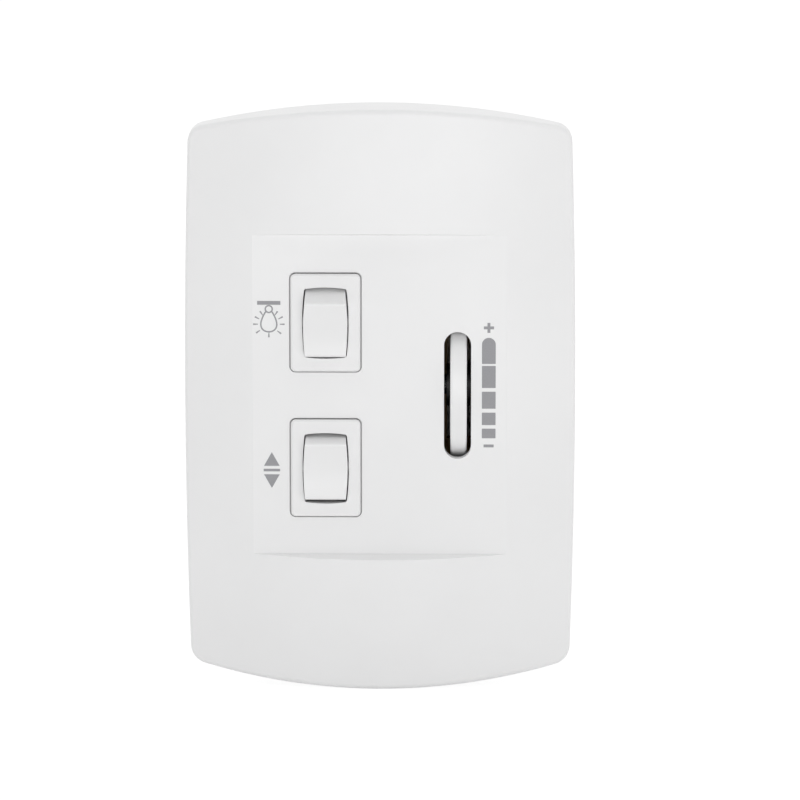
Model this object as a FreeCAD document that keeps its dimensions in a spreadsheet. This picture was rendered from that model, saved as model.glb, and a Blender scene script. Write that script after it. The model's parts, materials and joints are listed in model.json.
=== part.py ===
import FreeCAD, Part
import os
import re
import Sketcher

# Wall control for a ceiling fan: a crowned front plate with a light rocker, a fan direction rocker
# and a speed thumbwheel, in front of a housing with the speed circuit.
# Every piece is drawn flat, x across the plate, y up it and z out of the wall, and then stood
# upright, so that z out of the wall becomes -Y and y up becomes +Z. The wall is at z = 0.

V = FreeCAD.Vector

# Driving sizes in millimetres, angles in degrees
SIZES = {
    # Front plate
    "plate_width": 81.0,
    "plate_height": 122.3,
    "plate_drop": 1.0,
    "plate_side_bow": 0.95,
    "plate_end_bow": 4.75,
    "plate_corner": 4.0,
    "plate_wall": 2.0,
    "crown_height": 10.5,
    "crown_radius": 125.0,
    "crown_edge_round": 1.0,
    "panel_drop": 2.8,
    "panel_height": 67.4,
    "panel_draft": 14.0,
    # Snap hooks of the plate
    "hook_offset_x": 29.8,
    "hook_offset_y": 28.0,
    "hook_width": 6.0,
    "hook_thickness": 1.6,
    "hook_nose": 0.9,
    "hook_play": 0.2,
    # Mounting frame behind the plate
    "frame_width": 67.0,
    "frame_end_gap": 7.5,
    "frame_corner": 5.0,
    "frame_web": 2.0,
    "frame_standoff": 1.6,
    "frame_lip": 1.6,
    "box_screw_spacing": 83.5,
    "box_slot_width": 4.2,
    "box_slot_length": 7.0,
    # Rear cover
    "cover_width": 53.0,
    "cover_height": 72.0,
    "cover_wall": 1.8,
    "cover_depth": 22.8,
    "cover_step_depth": 17.4,
    "cover_step_offset": 24.5,
    "cover_corner": 2.0,
    "cover_play": 0.7,
    "cover_rim_gap": 0.1,
    "vent_width": 1.8,
    "vent_length": 15.0,
    "vent_pitch": 4.2,
    "vent_offset": 20.0,
    # Pillars and the screws that clamp cover and board to the plate
    "pillar_offset_x": 21.6,
    "pillar_offset_y": 30.6,
    "pillar_diameter": 5.6,
    "sleeve_diameter": 7.4,
    "sleeve_floor": 1.5,
    "screw_diameter": 2.2,
    "screw_length": 9.0,
    "screw_head_diameter": 4.4,
    "screw_head_height": 1.2,
    "screw_play": 0.1,
    # Circuit board
    "board_depth": 13.0,
    "board_thickness": 1.6,
    "board_play": 0.3,
    "tail_overhang": 1.0,
    "lead_diameter": 0.7,
    "lead_play": 0.1,
    # Rocker switch housings
    "switch_offset": 11.2,
    "switch_spacing": 30.7,
    "bezel_width": 14.4,
    "bezel_height": 20.5,
    "bezel_corner": 1.0,
    "bezel_thickness": 1.6,
    "bezel_edge": 0.35,
    "seat_depth": 0.8,
    "seat_gap": 0.3,
    "housing_width": 12.9,
    "housing_height": 18.8,
    "housing_depth": 14.5,
    "housing_floor": 1.6,
    "housing_play": 0.15,
    "clip_rise": 0.7,
    "clip_width": 6.0,
    "clip_length": 6.0,
    "mouth_width": 9.6,
    "mouth_height": 15.0,
    "mouth_side_bow": 0.45,
    "mouth_end_bow": 0.35,
    "mouth_corner": 0.5,
    # Rockers
    "pivot_depth": 1.2,
    "pivot_diameter": 2.4,
    "pivot_reach": 5.95,
    "pivot_play": 0.05,
    "rocker_tilt": 10.0,
    "rocker_side_gap": 0.25,
    "rocker_end_gap": 0.45,
    "rocker_skirt": 1.0,
    "rocker_crest_rise": 5.5,
    "rocker_crest_spacing": 11.7,
    "rocker_valley": 1.2,
    "rocker_crest_round": 0.5,
    "rocker_wall": 1.3,
    # Spring plunger in each rocker
    "guide_diameter": 4.2,
    "guide_drop": 4.2,
    "guide_top": 1.4,
    "plunger_diameter": 2.8,
    "plunger_reach": 7.3,
    "plunger_length": 4.9,
    "plunger_play": 0.05,
    "spring_wire": 0.35,
    "spring_diameter": 2.0,
    "spring_turns": 5.0,
    "spring_gap": 0.05,
    # Contact levers and terminals
    "lever_depth": 8.6,
    "lever_thickness": 0.6,
    "lever_length": 12.2,
    "lever_width": 3.6,
    "lever_ratio": 0.6,
    "lever_gap": 0.05,
    "fulcrum_radius": 0.2,
    "contact_diameter": 2.2,
    "contact_height": 0.6,
    "contact_spacing": 10.0,
    "fixed_contact_depth": 10.45,
    "fixed_contact_height": 0.3,
    "blade_width": 4.8,
    "blade_thickness": 0.8,
    "blade_spacing": 5.6,
    "blade_play": 0.05,
    "tail_width": 2.0,
    # Thumbwheel
    "slot_width": 5.6,
    "slot_length": 26.8,
    "slot_offset": 16.1,
    "wheel_offset": 16.3,
    "wheel_radius": 15.5,
    "wheel_width": 3.4,
    "wheel_sink": 11.7,
    "wheel_edge_round": 0.5,
    "wheel_rim": 3.0,
    "wheel_web": 1.6,
    "wheel_board_gap": 0.8,
    "hub_diameter": 9.0,
    "hub_width": 5.0,
    "shaft_diameter": 4.0,
    "shaft_flat": 1.5,
    "shaft_play": 0.05,
    "shaft_overhang": 0.8,
    # Potentiometer
    "pot_width": 13.0,
    "pot_length": 7.0,
    "pot_gap": 0.5,
    "pot_cover_thickness": 0.6,
    "rotor_diameter": 10.0,
    "rotor_thickness": 2.4,
    "rotor_gap": 0.3,
    "pot_pin_spacing": 5.0,
    "pot_pin_depth": 3.0,
    # Triac on its heat sink
    "sink_offset_y": 19.5,
    "sink_left": 1.0,
    "sink_width": 18.0,
    "sink_height": 16.0,
    "sink_wall": 1.5,
    "sink_fin": 9.0,
    "sink_lift": 0.3,
    "triac_offset": 10.0,
    "triac_width": 10.0,
    "triac_thickness": 4.4,
    "triac_body_height": 9.0,
    "triac_tab_height": 6.4,
    "triac_tab_thickness": 1.3,
    "triac_lift": 1.6,
    "triac_lead_spacing": 2.54,
    "triac_screw_diameter": 3.0,
    "triac_screw_head": 5.5,
    "triac_screw_head_height": 2.0,
    "triac_nut_height": 2.4,
    # Choke, capacitors and axial parts
    "choke_offset_x": 9.0,
    "choke_offset_y": 22.0,
    "choke_diameter": 12.0,
    "choke_waist": 6.0,
    "choke_height": 14.0,
    "choke_flange": 2.0,
    "choke_wire_inset": 0.8,
    "choke_lead_spacing": 7.0,
    "film_offset_y": 12.5,
    "film_length": 13.0,
    "film_thickness": 5.0,
    "film_height": 11.0,
    "film_lead_spacing": 10.0,
    "film_edge": 0.6,
    "timer_offset_y": 12.0,
    "timer_length": 7.2,
    "timer_thickness": 3.5,
    "timer_height": 7.0,
    "timer_lead_spacing": 5.0,
    "axial_offset_x": 21.2,
    "axial_lift": 0.4,
    "fuse_diameter": 5.0,
    "fuse_length": 16.0,
    "fuse_span": 20.0,
    "resistor_diameter": 2.6,
    "resistor_length": 6.6,
    "resistor_span": 10.0,
    "resistor_offset_y": 19.5,
    "diac_diameter": 2.0,
    "diac_length": 4.2,
    "diac_span": 7.5,
    "diac_offset_y": 20.0,
    # Wire terminals
    "pole_count": 5,
    "pole_pitch": 5.08,
    "block_depth": 11.4,
    "block_height": 8.4,
    "block_offset": 29.2,
    "block_wall": 0.74,
    "block_edge": 0.5,
    "cage_height": 4.6,
    "cage_length": 5.6,
    "cage_play": 0.1,
    "cage_recess": 0.6,
    "cage_lift": 3.6,
    "wire_hole": 2.6,
    "terminal_screw_diameter": 2.4,
    "terminal_screw_head": 3.3,
    "terminal_screw_head_height": 1.6,
    "terminal_screw_recess": 0.8,
}

# Sizes that follow from the driving ones
FORMULAS = {
    "panel_level": "crown_height - panel_drop",
    "panel_back": "panel_level - plate_wall",
    "crown_centre": "crown_height - crown_radius",
    "board_front": "-board_depth",
    "board_back": "-board_depth - board_thickness",
    "lead_hole": "lead_diameter + 2 * lead_play",
    "lead_length": "board_thickness + tail_overhang",
    "frame_height": "plate_height - 2 * frame_end_gap",
    "frame_front": "frame_standoff + frame_web",
    "cover_front": "panel_back - cover_rim_gap",
    "seat_level": "board_back - sleeve_floor - cover_rim_gap",
    "pilot_diameter": "screw_diameter + screw_play",
    "switch_lift": "switch_spacing / 2",
    "board_drop": "panel_level + board_depth",
    "lever_bottom": "lever_depth + lever_thickness",
    "wheel_level": "panel_level - wheel_sink",
    "pot_front": "wheel_offset - hub_width / 2 - pot_gap",
    "pot_back": "pot_front - pot_length",
    "sink_base": "board_front + sink_lift",
    "triac_base": "board_front + triac_lift",
    "triac_hole": "triac_base + triac_body_height + triac_tab_height / 2",
    "block_back": "board_back - block_depth",
    "block_width": "pole_count * pole_pitch",
    "cage_width": "pole_pitch - 2 * block_wall - 2 * cage_play",
    "cage_top": "board_back - cage_lift",
    "cage_front": "-block_offset - block_height / 2 + cage_recess",
}

NAME_PATTERN = re.compile(r"[a-z]+(?:_[a-z]+)+")

doc = FreeCAD.newDocument("FanSpeedSwitch")
sheet = doc.addObject("Spreadsheet::Sheet", "Sizes")
for row, (alias, number) in enumerate(SIZES.items(), start=1):
    sheet.set(f"A{row}", alias)
    sheet.set(f"B{row}", str(number))
    sheet.setAlias(f"B{row}", alias)
doc.recompute()

# Finished sub-parts by name
NODES = {}


def expand(text):
    """Spell out every worked-out size in a sum of sizes."""
    def spell(match):
        name = match.group(0)
        return f"({expand(FORMULAS[name])})" if name in FORMULAS else name
    return NAME_PATTERN.sub(spell, str(text))


def bound(text):
    """Write a sum of sizes as an expression on the sheet's cells."""
    return NAME_PATTERN.sub(lambda match: f"Sizes.{match.group(0)}", expand(text))


def size(text):
    """Work out a sum of sizes as a number."""
    return float(sheet.evalExpression(expand(text)))


def bind(item, **sums):
    """Tie properties of a document object to sums of sizes."""
    for name, text in sums.items():
        item.setExpression(name, bound(text))


def new_body(label):
    """Start a solid body with its own origin planes."""
    body = doc.addObject("PartDesign::Body", label)
    body.Label = label
    return body


def new_sketch(body, plane="XY_Plane", offset=None):
    """Start a sketch on an origin plane of the body, moved along the plane's normal."""
    sketch = body.newObject("Sketcher::SketchObject", body.Name + "_sketch")
    support = [item for item in body.Origin.OriginFeatures if item.Role == plane][0]
    sketch.AttachmentSupport = [(support, "")]
    sketch.MapMode = "FlatFace"
    if offset is not None:
        sketch.setExpression("AttachmentOffset.Base.z", bound(offset))
    return sketch


def pin_point(sketch, shape, spot, x, y):
    """Fix a point of a sketched shape at x, y from the sketch's origin."""
    for kind, text in (("DistanceX", x), ("DistanceY", y)):
        rule = sketch.addConstraint(Sketcher.Constraint(kind, -1, 1, shape, spot, size(text)))
        sketch.setExpression(f"Constraints[{rule}]", bound(text))


def draw_path(sketch, corners, via=None, closed=False):
    """Draw a line through the corners, with an arc where a side has a via point."""
    via = via or {}
    points = [V(size(x), size(y), 0) for x, y in corners]
    sides = []
    for index in range(len(points) if closed else len(points) - 1):
        start = points[index]
        end = points[(index + 1) % len(points)]
        if index in via:
            middle = V(size(via[index][0]), size(via[index][1]), 0)
            side = sketch.addGeometry(Part.Arc(start, middle, end), False)
        else:
            side = sketch.addGeometry(Part.LineSegment(start, end), False)
        forward = sketch.getPoint(side, 1).distanceToPoint(start) < 1e-6
        sides.append((side, 1 if forward else 2, 2 if forward else 1))
    for index, (side, first, last) in enumerate(sides):
        pin_point(sketch, side, first, *corners[index])
        if closed or index + 1 < len(sides):
            after, after_first, _ = sides[(index + 1) % len(sides)]
            sketch.addConstraint(Sketcher.Constraint("Coincident", side, last, after, after_first))
        else:
            pin_point(sketch, side, last, *corners[-1])
    for index, (x, y) in via.items():
        mark = sketch.addGeometry(Part.Point(V(size(x), size(y), 0)), True)
        pin_point(sketch, mark, 1, x, y)
        sketch.addConstraint(Sketcher.Constraint("PointOnObject", mark, 1, sides[index][0]))


def draw_loop(sketch, corners, via=None):
    """Draw a closed outline through the corners, with an arc where a side has a via point."""
    draw_path(sketch, corners, via, closed=True)


def draw_circle(sketch, x, y, diameter):
    """Draw a circle about x, y."""
    centre = V(size(x), size(y), 0)
    circle = sketch.addGeometry(Part.Circle(centre, V(0, 0, 1), size(diameter) / 2), False)
    pin_point(sketch, circle, 3, x, y)
    rule = sketch.addConstraint(Sketcher.Constraint("Diameter", circle, size(diameter)))
    sketch.setExpression(f"Constraints[{rule}]", bound(diameter))


def draw_box(sketch, left, bottom, right, top):
    """Draw a rectangle from its four sides."""
    draw_loop(sketch, [(left, bottom), (right, bottom), (right, top), (left, top)])


def draw_plain_box(sketch, x, y, width, height):
    """Draw a rectangle about x, y."""
    draw_box(sketch, f"{x} - ({width}) / 2", f"{y} - ({height}) / 2",
             f"{x} + ({width}) / 2", f"{y} + ({height}) / 2")


def draw_barrel(sketch, width, height, side_bow, end_bow, drop="0"):
    """Draw four bowed sides, moved down by the drop; the bows are what the corners lose."""
    across = f"({width}) / 2 - ({side_bow})"
    low = f"-({height}) / 2 - ({drop})"
    high = f"({height}) / 2 - ({drop})"
    bottom = f"{low} + ({end_bow})"
    top = f"{high} - ({end_bow})"
    corners = [(f"-({across})", bottom), (across, bottom), (across, top), (f"-({across})", top)]
    via = {
        0: ("0", low),
        1: (f"({width}) / 2", f"-({drop})"),
        2: ("0", high),
        3: (f"-({width}) / 2", f"-({drop})"),
    }
    draw_loop(sketch, corners, via)


def draw_slot(sketch, x, y, width, length):
    """Draw an upright slot with round ends about x, y."""
    left = f"{x} - ({width}) / 2"
    right = f"{x} + ({width}) / 2"
    low = f"{y} - ({length}) / 2 + ({width}) / 2"
    high = f"{y} + ({length}) / 2 - ({width}) / 2"
    via = {0: (x, f"{y} - ({length}) / 2"), 2: (x, f"{y} + ({length}) / 2")}
    draw_loop(sketch, [(left, low), (right, low), (right, high), (left, high)], via)


def pad(sketch, length, back=False, centred=False):
    """Add the sketch's area to its body, along the sketch's normal or against it."""
    body = sketch.getParentGeoFeatureGroup()
    feature = body.newObject("PartDesign::Pad", sketch.Name + "_pad")
    feature.Profile = sketch
    bind(feature, Length=length)
    feature.Reversed = back
    feature.SideType = "Symmetric" if centred else "One side"
    doc.recompute()
    return feature


def pocket(sketch, length=None, back=False, centred=False, draft=None):
    """Cut the sketch's area out of its body, right through where no length is given."""
    body = sketch.getParentGeoFeatureGroup()
    before = body.Tip.Shape.Volume
    feature = body.newObject("PartDesign::Pocket", sketch.Name + "_pocket")
    feature.Profile = sketch
    feature.SideType = "Symmetric" if centred else "One side"
    feature.Reversed = back
    if length is None:
        feature.Type = "ThroughAll"
    else:
        bind(feature, Length=length)
    if draft is not None:
        bind(feature, TaperAngle=draft)
    doc.recompute()
    if feature.Shape.Volume >= before:
        raise RuntimeError(f"{feature.Name} cuts nothing")
    return feature


def dress_edges(body, kind, amount, chosen):
    """Round or bevel the edges of the body's last feature that the test picks."""
    base = body.Tip
    names = [f"Edge{index}" for index, edge in enumerate(base.Shape.Edges, start=1) if chosen(edge)]
    if not names:
        raise RuntimeError(f"{body.Label} has no edge to dress")
    feature = body.newObject(f"PartDesign::{kind}", f"{body.Name}_{kind}")
    feature.Base = (base, names)
    bind(feature, **{"Radius" if kind == "Fillet" else "Size": amount})
    doc.recompute()
    return feature


def is_upright(edge):
    """Tell whether a straight edge runs along z."""
    ends = edge.Vertexes
    if len(ends) < 2:
        return False
    run = ends[-1].Point - ends[0].Point
    return abs(run.z) > 1e-3 and abs(run.x) < 1e-6 and abs(run.y) < 1e-6


def lies_at(edge, level):
    """Tell whether all of an edge lies at one height z."""
    box = edge.BoundBox
    return abs(box.ZMin - level) < 1e-4 and abs(box.ZMax - level) < 1e-4


def stand(item, x="0", y="0", z="0", tilt="0"):
    """Stand a flat-drawn piece upright against the wall, moved to x, y, z and tilted about x."""
    item.Placement = FreeCAD.Placement(V(), FreeCAD.Rotation(V(1, 0, 0), 90))
    item.setExpression("Placement.Base.x", bound(x))
    item.setExpression("Placement.Base.y", bound(f"-({z})"))
    item.setExpression("Placement.Base.z", bound(y))
    item.setExpression("Placement.Rotation.Angle", bound(f"90 + ({tilt})"))
    NODES[item.Label] = item


def cylinder(label, x, y, z, diameter, height, axis="z"):
    """Make a round bar from x, y, z along an axis."""
    bar = doc.addObject("Part::Cylinder", label)
    turns = {"z": FreeCAD.Rotation(), "y": FreeCAD.Rotation(V(1, 0, 0), -90)}
    bar.Placement = FreeCAD.Placement(V(), turns[axis])
    bind(bar, Radius=f"({diameter}) / 2", Height=height)
    for name, text in (("x", x), ("y", y), ("z", z)):
        bar.setExpression(f"Placement.Base.{name}", bound(text))
    return bar


def fuse(label, pieces):
    """Join simple solids into one piece."""
    joined = doc.addObject("Part::MultiFuse", label)
    joined.Label = label
    joined.Shapes = pieces
    return joined


def group(label, pieces):
    """Keep like pieces together as one sub-part of separate solids."""
    bunch = doc.addObject("Part::Compound", label)
    bunch.Label = label
    bunch.Links = pieces
    return bunch


def crowned_block(label, inset, crown):
    """Make the plate's outer form, drawn in on every side by the inset, with its crown that high."""
    body = new_body(label)
    outline = new_sketch(body)
    draw_barrel(outline, f"plate_width - 2 * ({inset})", f"plate_height - 2 * ({inset})",
                "plate_side_bow", "plate_end_bow", "plate_drop")
    pad(outline, f"({crown}) + plate_wall")
    dress_edges(body, "Fillet", f"plate_corner - ({inset})", is_upright)
    section = new_sketch(body, "XZ_Plane")
    reach = "(plate_width / 2 + plate_wall)"
    radius = f"(crown_radius - ({inset}))"
    edge = f"crown_centre + sqrt({radius}^2 - {reach}^2)"
    top = f"({crown}) + 2 * plate_wall"
    draw_loop(section, [(f"-{reach}", edge), (reach, edge), (reach, top), (f"-{reach}", top)],
              {0: ("0", crown)})
    pocket(section, "2 * plate_height", centred=True)
    return body


def sink_panel(body, inset):
    """Sink the flat control panel into the crown, with sloped walls above and below it."""
    field = new_sketch(body, offset=f"panel_level - ({inset})")
    draw_plain_box(field, "0", "0", "2 * plate_width", f"panel_height + 2 * ({inset})")
    pocket(field, "panel_drop + plate_wall", back=True, draft="panel_draft")


def four_corners(x, y):
    """List the four places at plus and minus x and y."""
    return [(f"{across} * {x}", f"{up} * {y}") for across in (-1, 1) for up in (-1, 1)]


def front_plate():
    """Crowned plate with the sunk panel, switch seats, wheel slot, pillars and snap hooks."""
    body = crowned_block("front_plate", "0", "crown_height")
    rim_top = size("crown_height - crown_radius + sqrt(crown_radius^2 - plate_width^2 / 4)") - 1

    def is_front_edge(edge):
        return edge.BoundBox.ZMin > rim_top and not is_upright(edge)

    dress_edges(body, "Fillet", "crown_edge_round", is_front_edge)
    sink_panel(body, "0")
    core = crowned_block("plate_core", "plate_wall", "crown_height - plate_wall")
    sink_panel(core, "plate_wall")
    hollow = body.newObject("PartDesign::Boolean", "plate_hollow")
    hollow.Type = "Cut"
    hollow.setObjects([core])
    doc.recompute()

    pillars = new_sketch(body, offset="board_front")
    for x, y in four_corners("pillar_offset_x", "pillar_offset_y"):
        draw_circle(pillars, x, y, "pillar_diameter")
    pad(pillars, "board_depth + panel_back + plate_wall / 2")
    pilots = new_sketch(body, offset="board_front")
    for x, y in four_corners("pillar_offset_x", "pillar_offset_y"):
        draw_circle(pilots, x, y, "pilot_diameter")
    pocket(pilots, "screw_length", back=True)

    seats = new_sketch(body, offset="panel_level")
    for up in (-1, 1):
        draw_plain_box(seats, "-switch_offset", f"{up} * switch_lift",
                       "bezel_width + 2 * seat_gap", "bezel_height + 2 * seat_gap")
    pocket(seats, "seat_depth")
    level = size("panel_level")

    def is_seat_corner(edge):
        return is_upright(edge) and abs(edge.BoundBox.ZMax - level) < 1e-4

    dress_edges(body, "Fillet", "bezel_corner + seat_gap", is_seat_corner)
    windows = new_sketch(body, offset="panel_level")
    for up in (-1, 1):
        draw_plain_box(windows, "-switch_offset", f"{up} * switch_lift",
                       "housing_width + 2 * housing_play", "housing_height + 2 * housing_play")
    draw_slot(windows, "slot_offset", "0", "slot_width", "slot_length")
    pocket(windows, "2 * plate_wall")

    foot = "hook_play"
    catch = "frame_standoff - hook_play"
    root = "crown_centre + sqrt((crown_radius - plate_wall)^2 - hook_offset_x^2) + plate_wall / 2"
    for up in (-1, 1):
        hooks = new_sketch(body, "XZ_Plane", offset=f"{up} * hook_offset_y")
        for across in (-1, 1):
            inner = f"{across} * (hook_offset_x - hook_thickness / 2)"
            outer = f"{across} * (hook_offset_x + hook_thickness / 2)"
            nose = f"{across} * (hook_offset_x + hook_thickness / 2 + hook_nose)"
            draw_loop(hooks, [(inner, foot), (outer, foot), (nose, f"({foot} + {catch}) / 2"),
                              (nose, catch), (outer, catch), (outer, root), (inner, root)])
        pad(hooks, "hook_width", centred=True)
    stand(body)


def mounting_frame():
    """Flat carrier on the wall box, with a lip that holds it off the wall and catches for the hooks."""
    body = new_body("mounting_frame")
    outline = new_sketch(body)
    draw_plain_box(outline, "0", "0", "frame_width", "frame_height")
    pad(outline, "frame_front")
    dress_edges(body, "Fillet", "frame_corner", is_upright)
    underside = new_sketch(body)
    draw_plain_box(underside, "0", "0", "frame_width - 2 * frame_lip", "frame_height - 2 * frame_lip")
    pocket(underside, "frame_standoff", back=True)
    inner_edge = size("frame_width / 2 - frame_lip") + 1e-3

    def is_inner_corner(edge):
        return is_upright(edge) and abs(edge.BoundBox.Center.x) < inner_edge

    dress_edges(body, "Fillet", "frame_corner - frame_lip", is_inner_corner)
    window = new_sketch(body)
    draw_plain_box(window, "0", "0", "cover_width + 2 * cover_play", "cover_height + 2 * cover_play")
    for up in (-1, 1):
        draw_slot(window, "0", f"{up} * box_screw_spacing / 2", "box_slot_width", "box_slot_length")
    for x, y in four_corners("hook_offset_x", "hook_offset_y"):
        draw_plain_box(window, x, y, "hook_thickness + 2 * hook_play", "hook_width + 4 * hook_play")
    pocket(window, "2 * frame_front", back=True)
    stand(body)


def rear_cover():
    """Deep box behind the plate, stepped in below for the wire terminals, with screw sleeves and vents."""
    body = new_body("rear_cover")
    outer = new_sketch(body, "YZ_Plane")
    half = "cover_height / 2"
    draw_loop(outer, [(f"-{half}", "cover_front"), (f"-{half}", "-cover_step_depth"),
                      ("-cover_step_offset", "-cover_step_depth"), ("-cover_step_offset", "-cover_depth"),
                      (half, "-cover_depth"), (half, "cover_front")])
    pad(outer, "cover_width", centred=True)
    dress_edges(body, "Fillet", "cover_corner", is_upright)
    inner = new_sketch(body, "YZ_Plane")
    room = "(cover_height / 2 - cover_wall)"
    step = "-cover_step_offset + cover_wall"
    shelf = "-cover_step_depth + cover_wall"
    floor = "-cover_depth + cover_wall"
    mouth = "cover_front + plate_wall"
    draw_loop(inner, [(f"-{room}", mouth), (f"-{room}", shelf), (step, shelf), (step, floor),
                      (room, floor), (room, mouth)])
    pocket(inner, "cover_width - 2 * cover_wall", centred=True)

    def draw_row(diameter, up, depth):
        row = new_sketch(body, offset=f"-{depth}")
        for across in (-1, 1):
            draw_circle(row, f"{across} * pillar_offset_x", f"{up} * pillar_offset_y", diameter)
        return row

    places = {1: "cover_depth", -1: "cover_step_depth"}
    for up, depth in places.items():
        pad(draw_row("sleeve_diameter", up, depth), f"{depth} + board_back - cover_rim_gap")
    for up, depth in places.items():
        wells = draw_row("screw_head_diameter + 4 * screw_play", up, depth)
        pocket(wells, f"{depth} + seat_level", back=True)
        holes = draw_row("screw_diameter + 4 * screw_play", up, depth)
        pocket(holes, f"{depth} + board_back", back=True)

    door = new_sketch(body, offset="-cover_step_depth")
    draw_plain_box(door, "0", "-block_offset", "block_width + 2 * board_play",
                   "block_height + 2 * board_play")
    pocket(door, "2 * cover_wall", back=True)
    vents = new_sketch(body, offset="-cover_depth")
    for step in range(-3, 4):
        draw_slot(vents, f"{step} * vent_pitch", "vent_offset", "vent_width", "vent_length")
    pocket(vents, "2 * cover_wall", back=True)
    stand(body)


def cover_screws():
    """Four pan-head screws through cover and board into the plate's pillars."""
    screws = []
    for index, (x, y) in enumerate(four_corners("pillar_offset_x", "pillar_offset_y")):
        head = cylinder(f"cover_screw_head_{index}", x, y, "seat_level - screw_head_height",
                        "screw_head_diameter", "screw_head_height")
        shank = cylinder(f"cover_screw_shank_{index}", x, y, "seat_level", "screw_diameter", "screw_length")
        screws.append(fuse(f"cover_screw_{index}", [head, shank]))
    stand(group("cover_screws", screws))


def lead_places():
    """List where the leads of the parts on the board go through it."""
    places = [("triac_offset", "sink_offset_y + sink_wall + triac_thickness / 2")]
    places += [(f"triac_offset + {side} * triac_lead_spacing", places[0][1]) for side in (-1, 1)]
    places += [(f"choke_offset_x + {side} * choke_lead_spacing / 2", "-choke_offset_y") for side in (-1, 1)]
    places += [("0", f"film_offset_y + {side} * film_lead_spacing / 2") for side in (-1, 1)]
    places += [("0", f"-timer_offset_y + {side} * timer_lead_spacing / 2") for side in (-1, 1)]
    places += [("-axial_offset_x", f"{side} * fuse_span / 2") for side in (-1, 1)]
    for up in (-1, 1):
        middle = f"{up} * resistor_offset_y"
        places += [("-axial_offset_x", f"{middle} + {side} * resistor_span / 2") for side in (-1, 1)]
    places += [("0", f"-diac_offset_y + {side} * diac_span / 2") for side in (-1, 1)]
    places += [("(pot_front + pot_back) / 2", f"{step} * pot_pin_spacing") for step in (-1, 0, 1)]
    places += [(pole_place(pole), "-block_offset") for pole in range(pole_total())]
    return places


def pole_total():
    """Count the wire terminals."""
    return int(size("pole_count"))


def pole_place(pole):
    """Give a wire terminal's place across the block."""
    return f"({pole} - (pole_count - 1) / 2) * pole_pitch"


def circuit_board():
    """Board that carries the speed circuit, open round the wheel and drilled for every lead."""
    body = new_body("circuit_board")
    outline = new_sketch(body, offset="board_back")
    draw_plain_box(outline, "0", "0", "cover_width - 2 * cover_wall - 2 * board_play",
                   "cover_height - 2 * cover_wall - 2 * board_play")
    pad(outline, "board_thickness")
    openings = new_sketch(body, offset="board_back")
    reach = "(sqrt(wheel_radius^2 - (wheel_level - board_front)^2) + wheel_board_gap)"
    draw_plain_box(openings, "wheel_offset", "0", "wheel_width + 2 * wheel_board_gap", f"2 * {reach}")
    for x, y in four_corners("pillar_offset_x", "pillar_offset_y"):
        draw_circle(openings, x, y, "screw_diameter + 4 * screw_play")
    for x, y in lead_places():
        draw_circle(openings, x, y, "lead_hole")
    for up in (-1, 1):
        for step in (-1, 0, 1):
            draw_plain_box(openings, "-switch_offset", f"{up} * switch_lift + {step} * blade_spacing",
                           "tail_width + 2 * lead_play", "blade_thickness + 2 * lead_play")
    pocket(openings, "2 * board_thickness", back=True)
    stand(body)


def switch_housing(label, lift):
    """Rocker switch housing: bezel, clipped box with a barrel mouth, pivot holes and blade slots."""
    body = new_body(label)
    bezel = new_sketch(body, offset="-seat_depth")
    draw_plain_box(bezel, "0", "0", "bezel_width", "bezel_height")
    pad(bezel, "bezel_thickness")
    dress_edges(body, "Fillet", "bezel_corner", is_upright)
    face = size("bezel_thickness - seat_depth")
    dress_edges(body, "Chamfer", "bezel_edge", lambda edge: lies_at(edge, face))
    box = new_sketch(body, offset="-housing_depth")
    draw_plain_box(box, "0", "0", "housing_width", "housing_height")
    pad(box, "housing_depth - seat_depth + bezel_thickness / 2")
    clips = new_sketch(body, "YZ_Plane")
    for up in (-1, 1):
        wall = f"{up} * housing_height / 2"
        root = f"{up} * (housing_height / 2 - housing_floor / 2)"
        tip = f"{up} * (housing_height / 2 + clip_rise)"
        shelf = "-plate_wall - housing_play"
        heel = f"{shelf} - clip_length"
        draw_loop(clips, [(root, shelf), (tip, f"{shelf} - clip_rise / 2"), (wall, heel), (root, heel)])
    pad(clips, "clip_width", centred=True)
    mouth = new_sketch(body, offset="bezel_thickness - seat_depth")
    draw_barrel(mouth, "mouth_width", "mouth_height", "mouth_side_bow", "mouth_end_bow")
    pocket(mouth, "bezel_thickness - seat_depth + housing_depth - housing_floor")
    reach = V(size("mouth_width / 2"), size("mouth_height / 2"))

    def is_mouth_corner(edge):
        middle = edge.BoundBox.Center
        return is_upright(edge) and abs(middle.x) < reach.x and abs(middle.y) < reach.y

    dress_edges(body, "Fillet", "mouth_corner", is_mouth_corner)
    pivots = new_sketch(body, "YZ_Plane")
    draw_circle(pivots, "0", "-pivot_depth", "pivot_diameter + 2 * pivot_play")
    pocket(pivots, "2 * (pivot_reach + pivot_play)", centred=True)
    slots = new_sketch(body, offset="-housing_depth")
    for step in (-1, 0, 1):
        draw_plain_box(slots, "0", f"{step} * blade_spacing",
                       "blade_width + 2 * blade_play", "blade_thickness + 2 * blade_play")
    pocket(slots, "2 * housing_floor", back=True)
    stand(body, "-switch_offset", lift, "panel_level")


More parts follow.
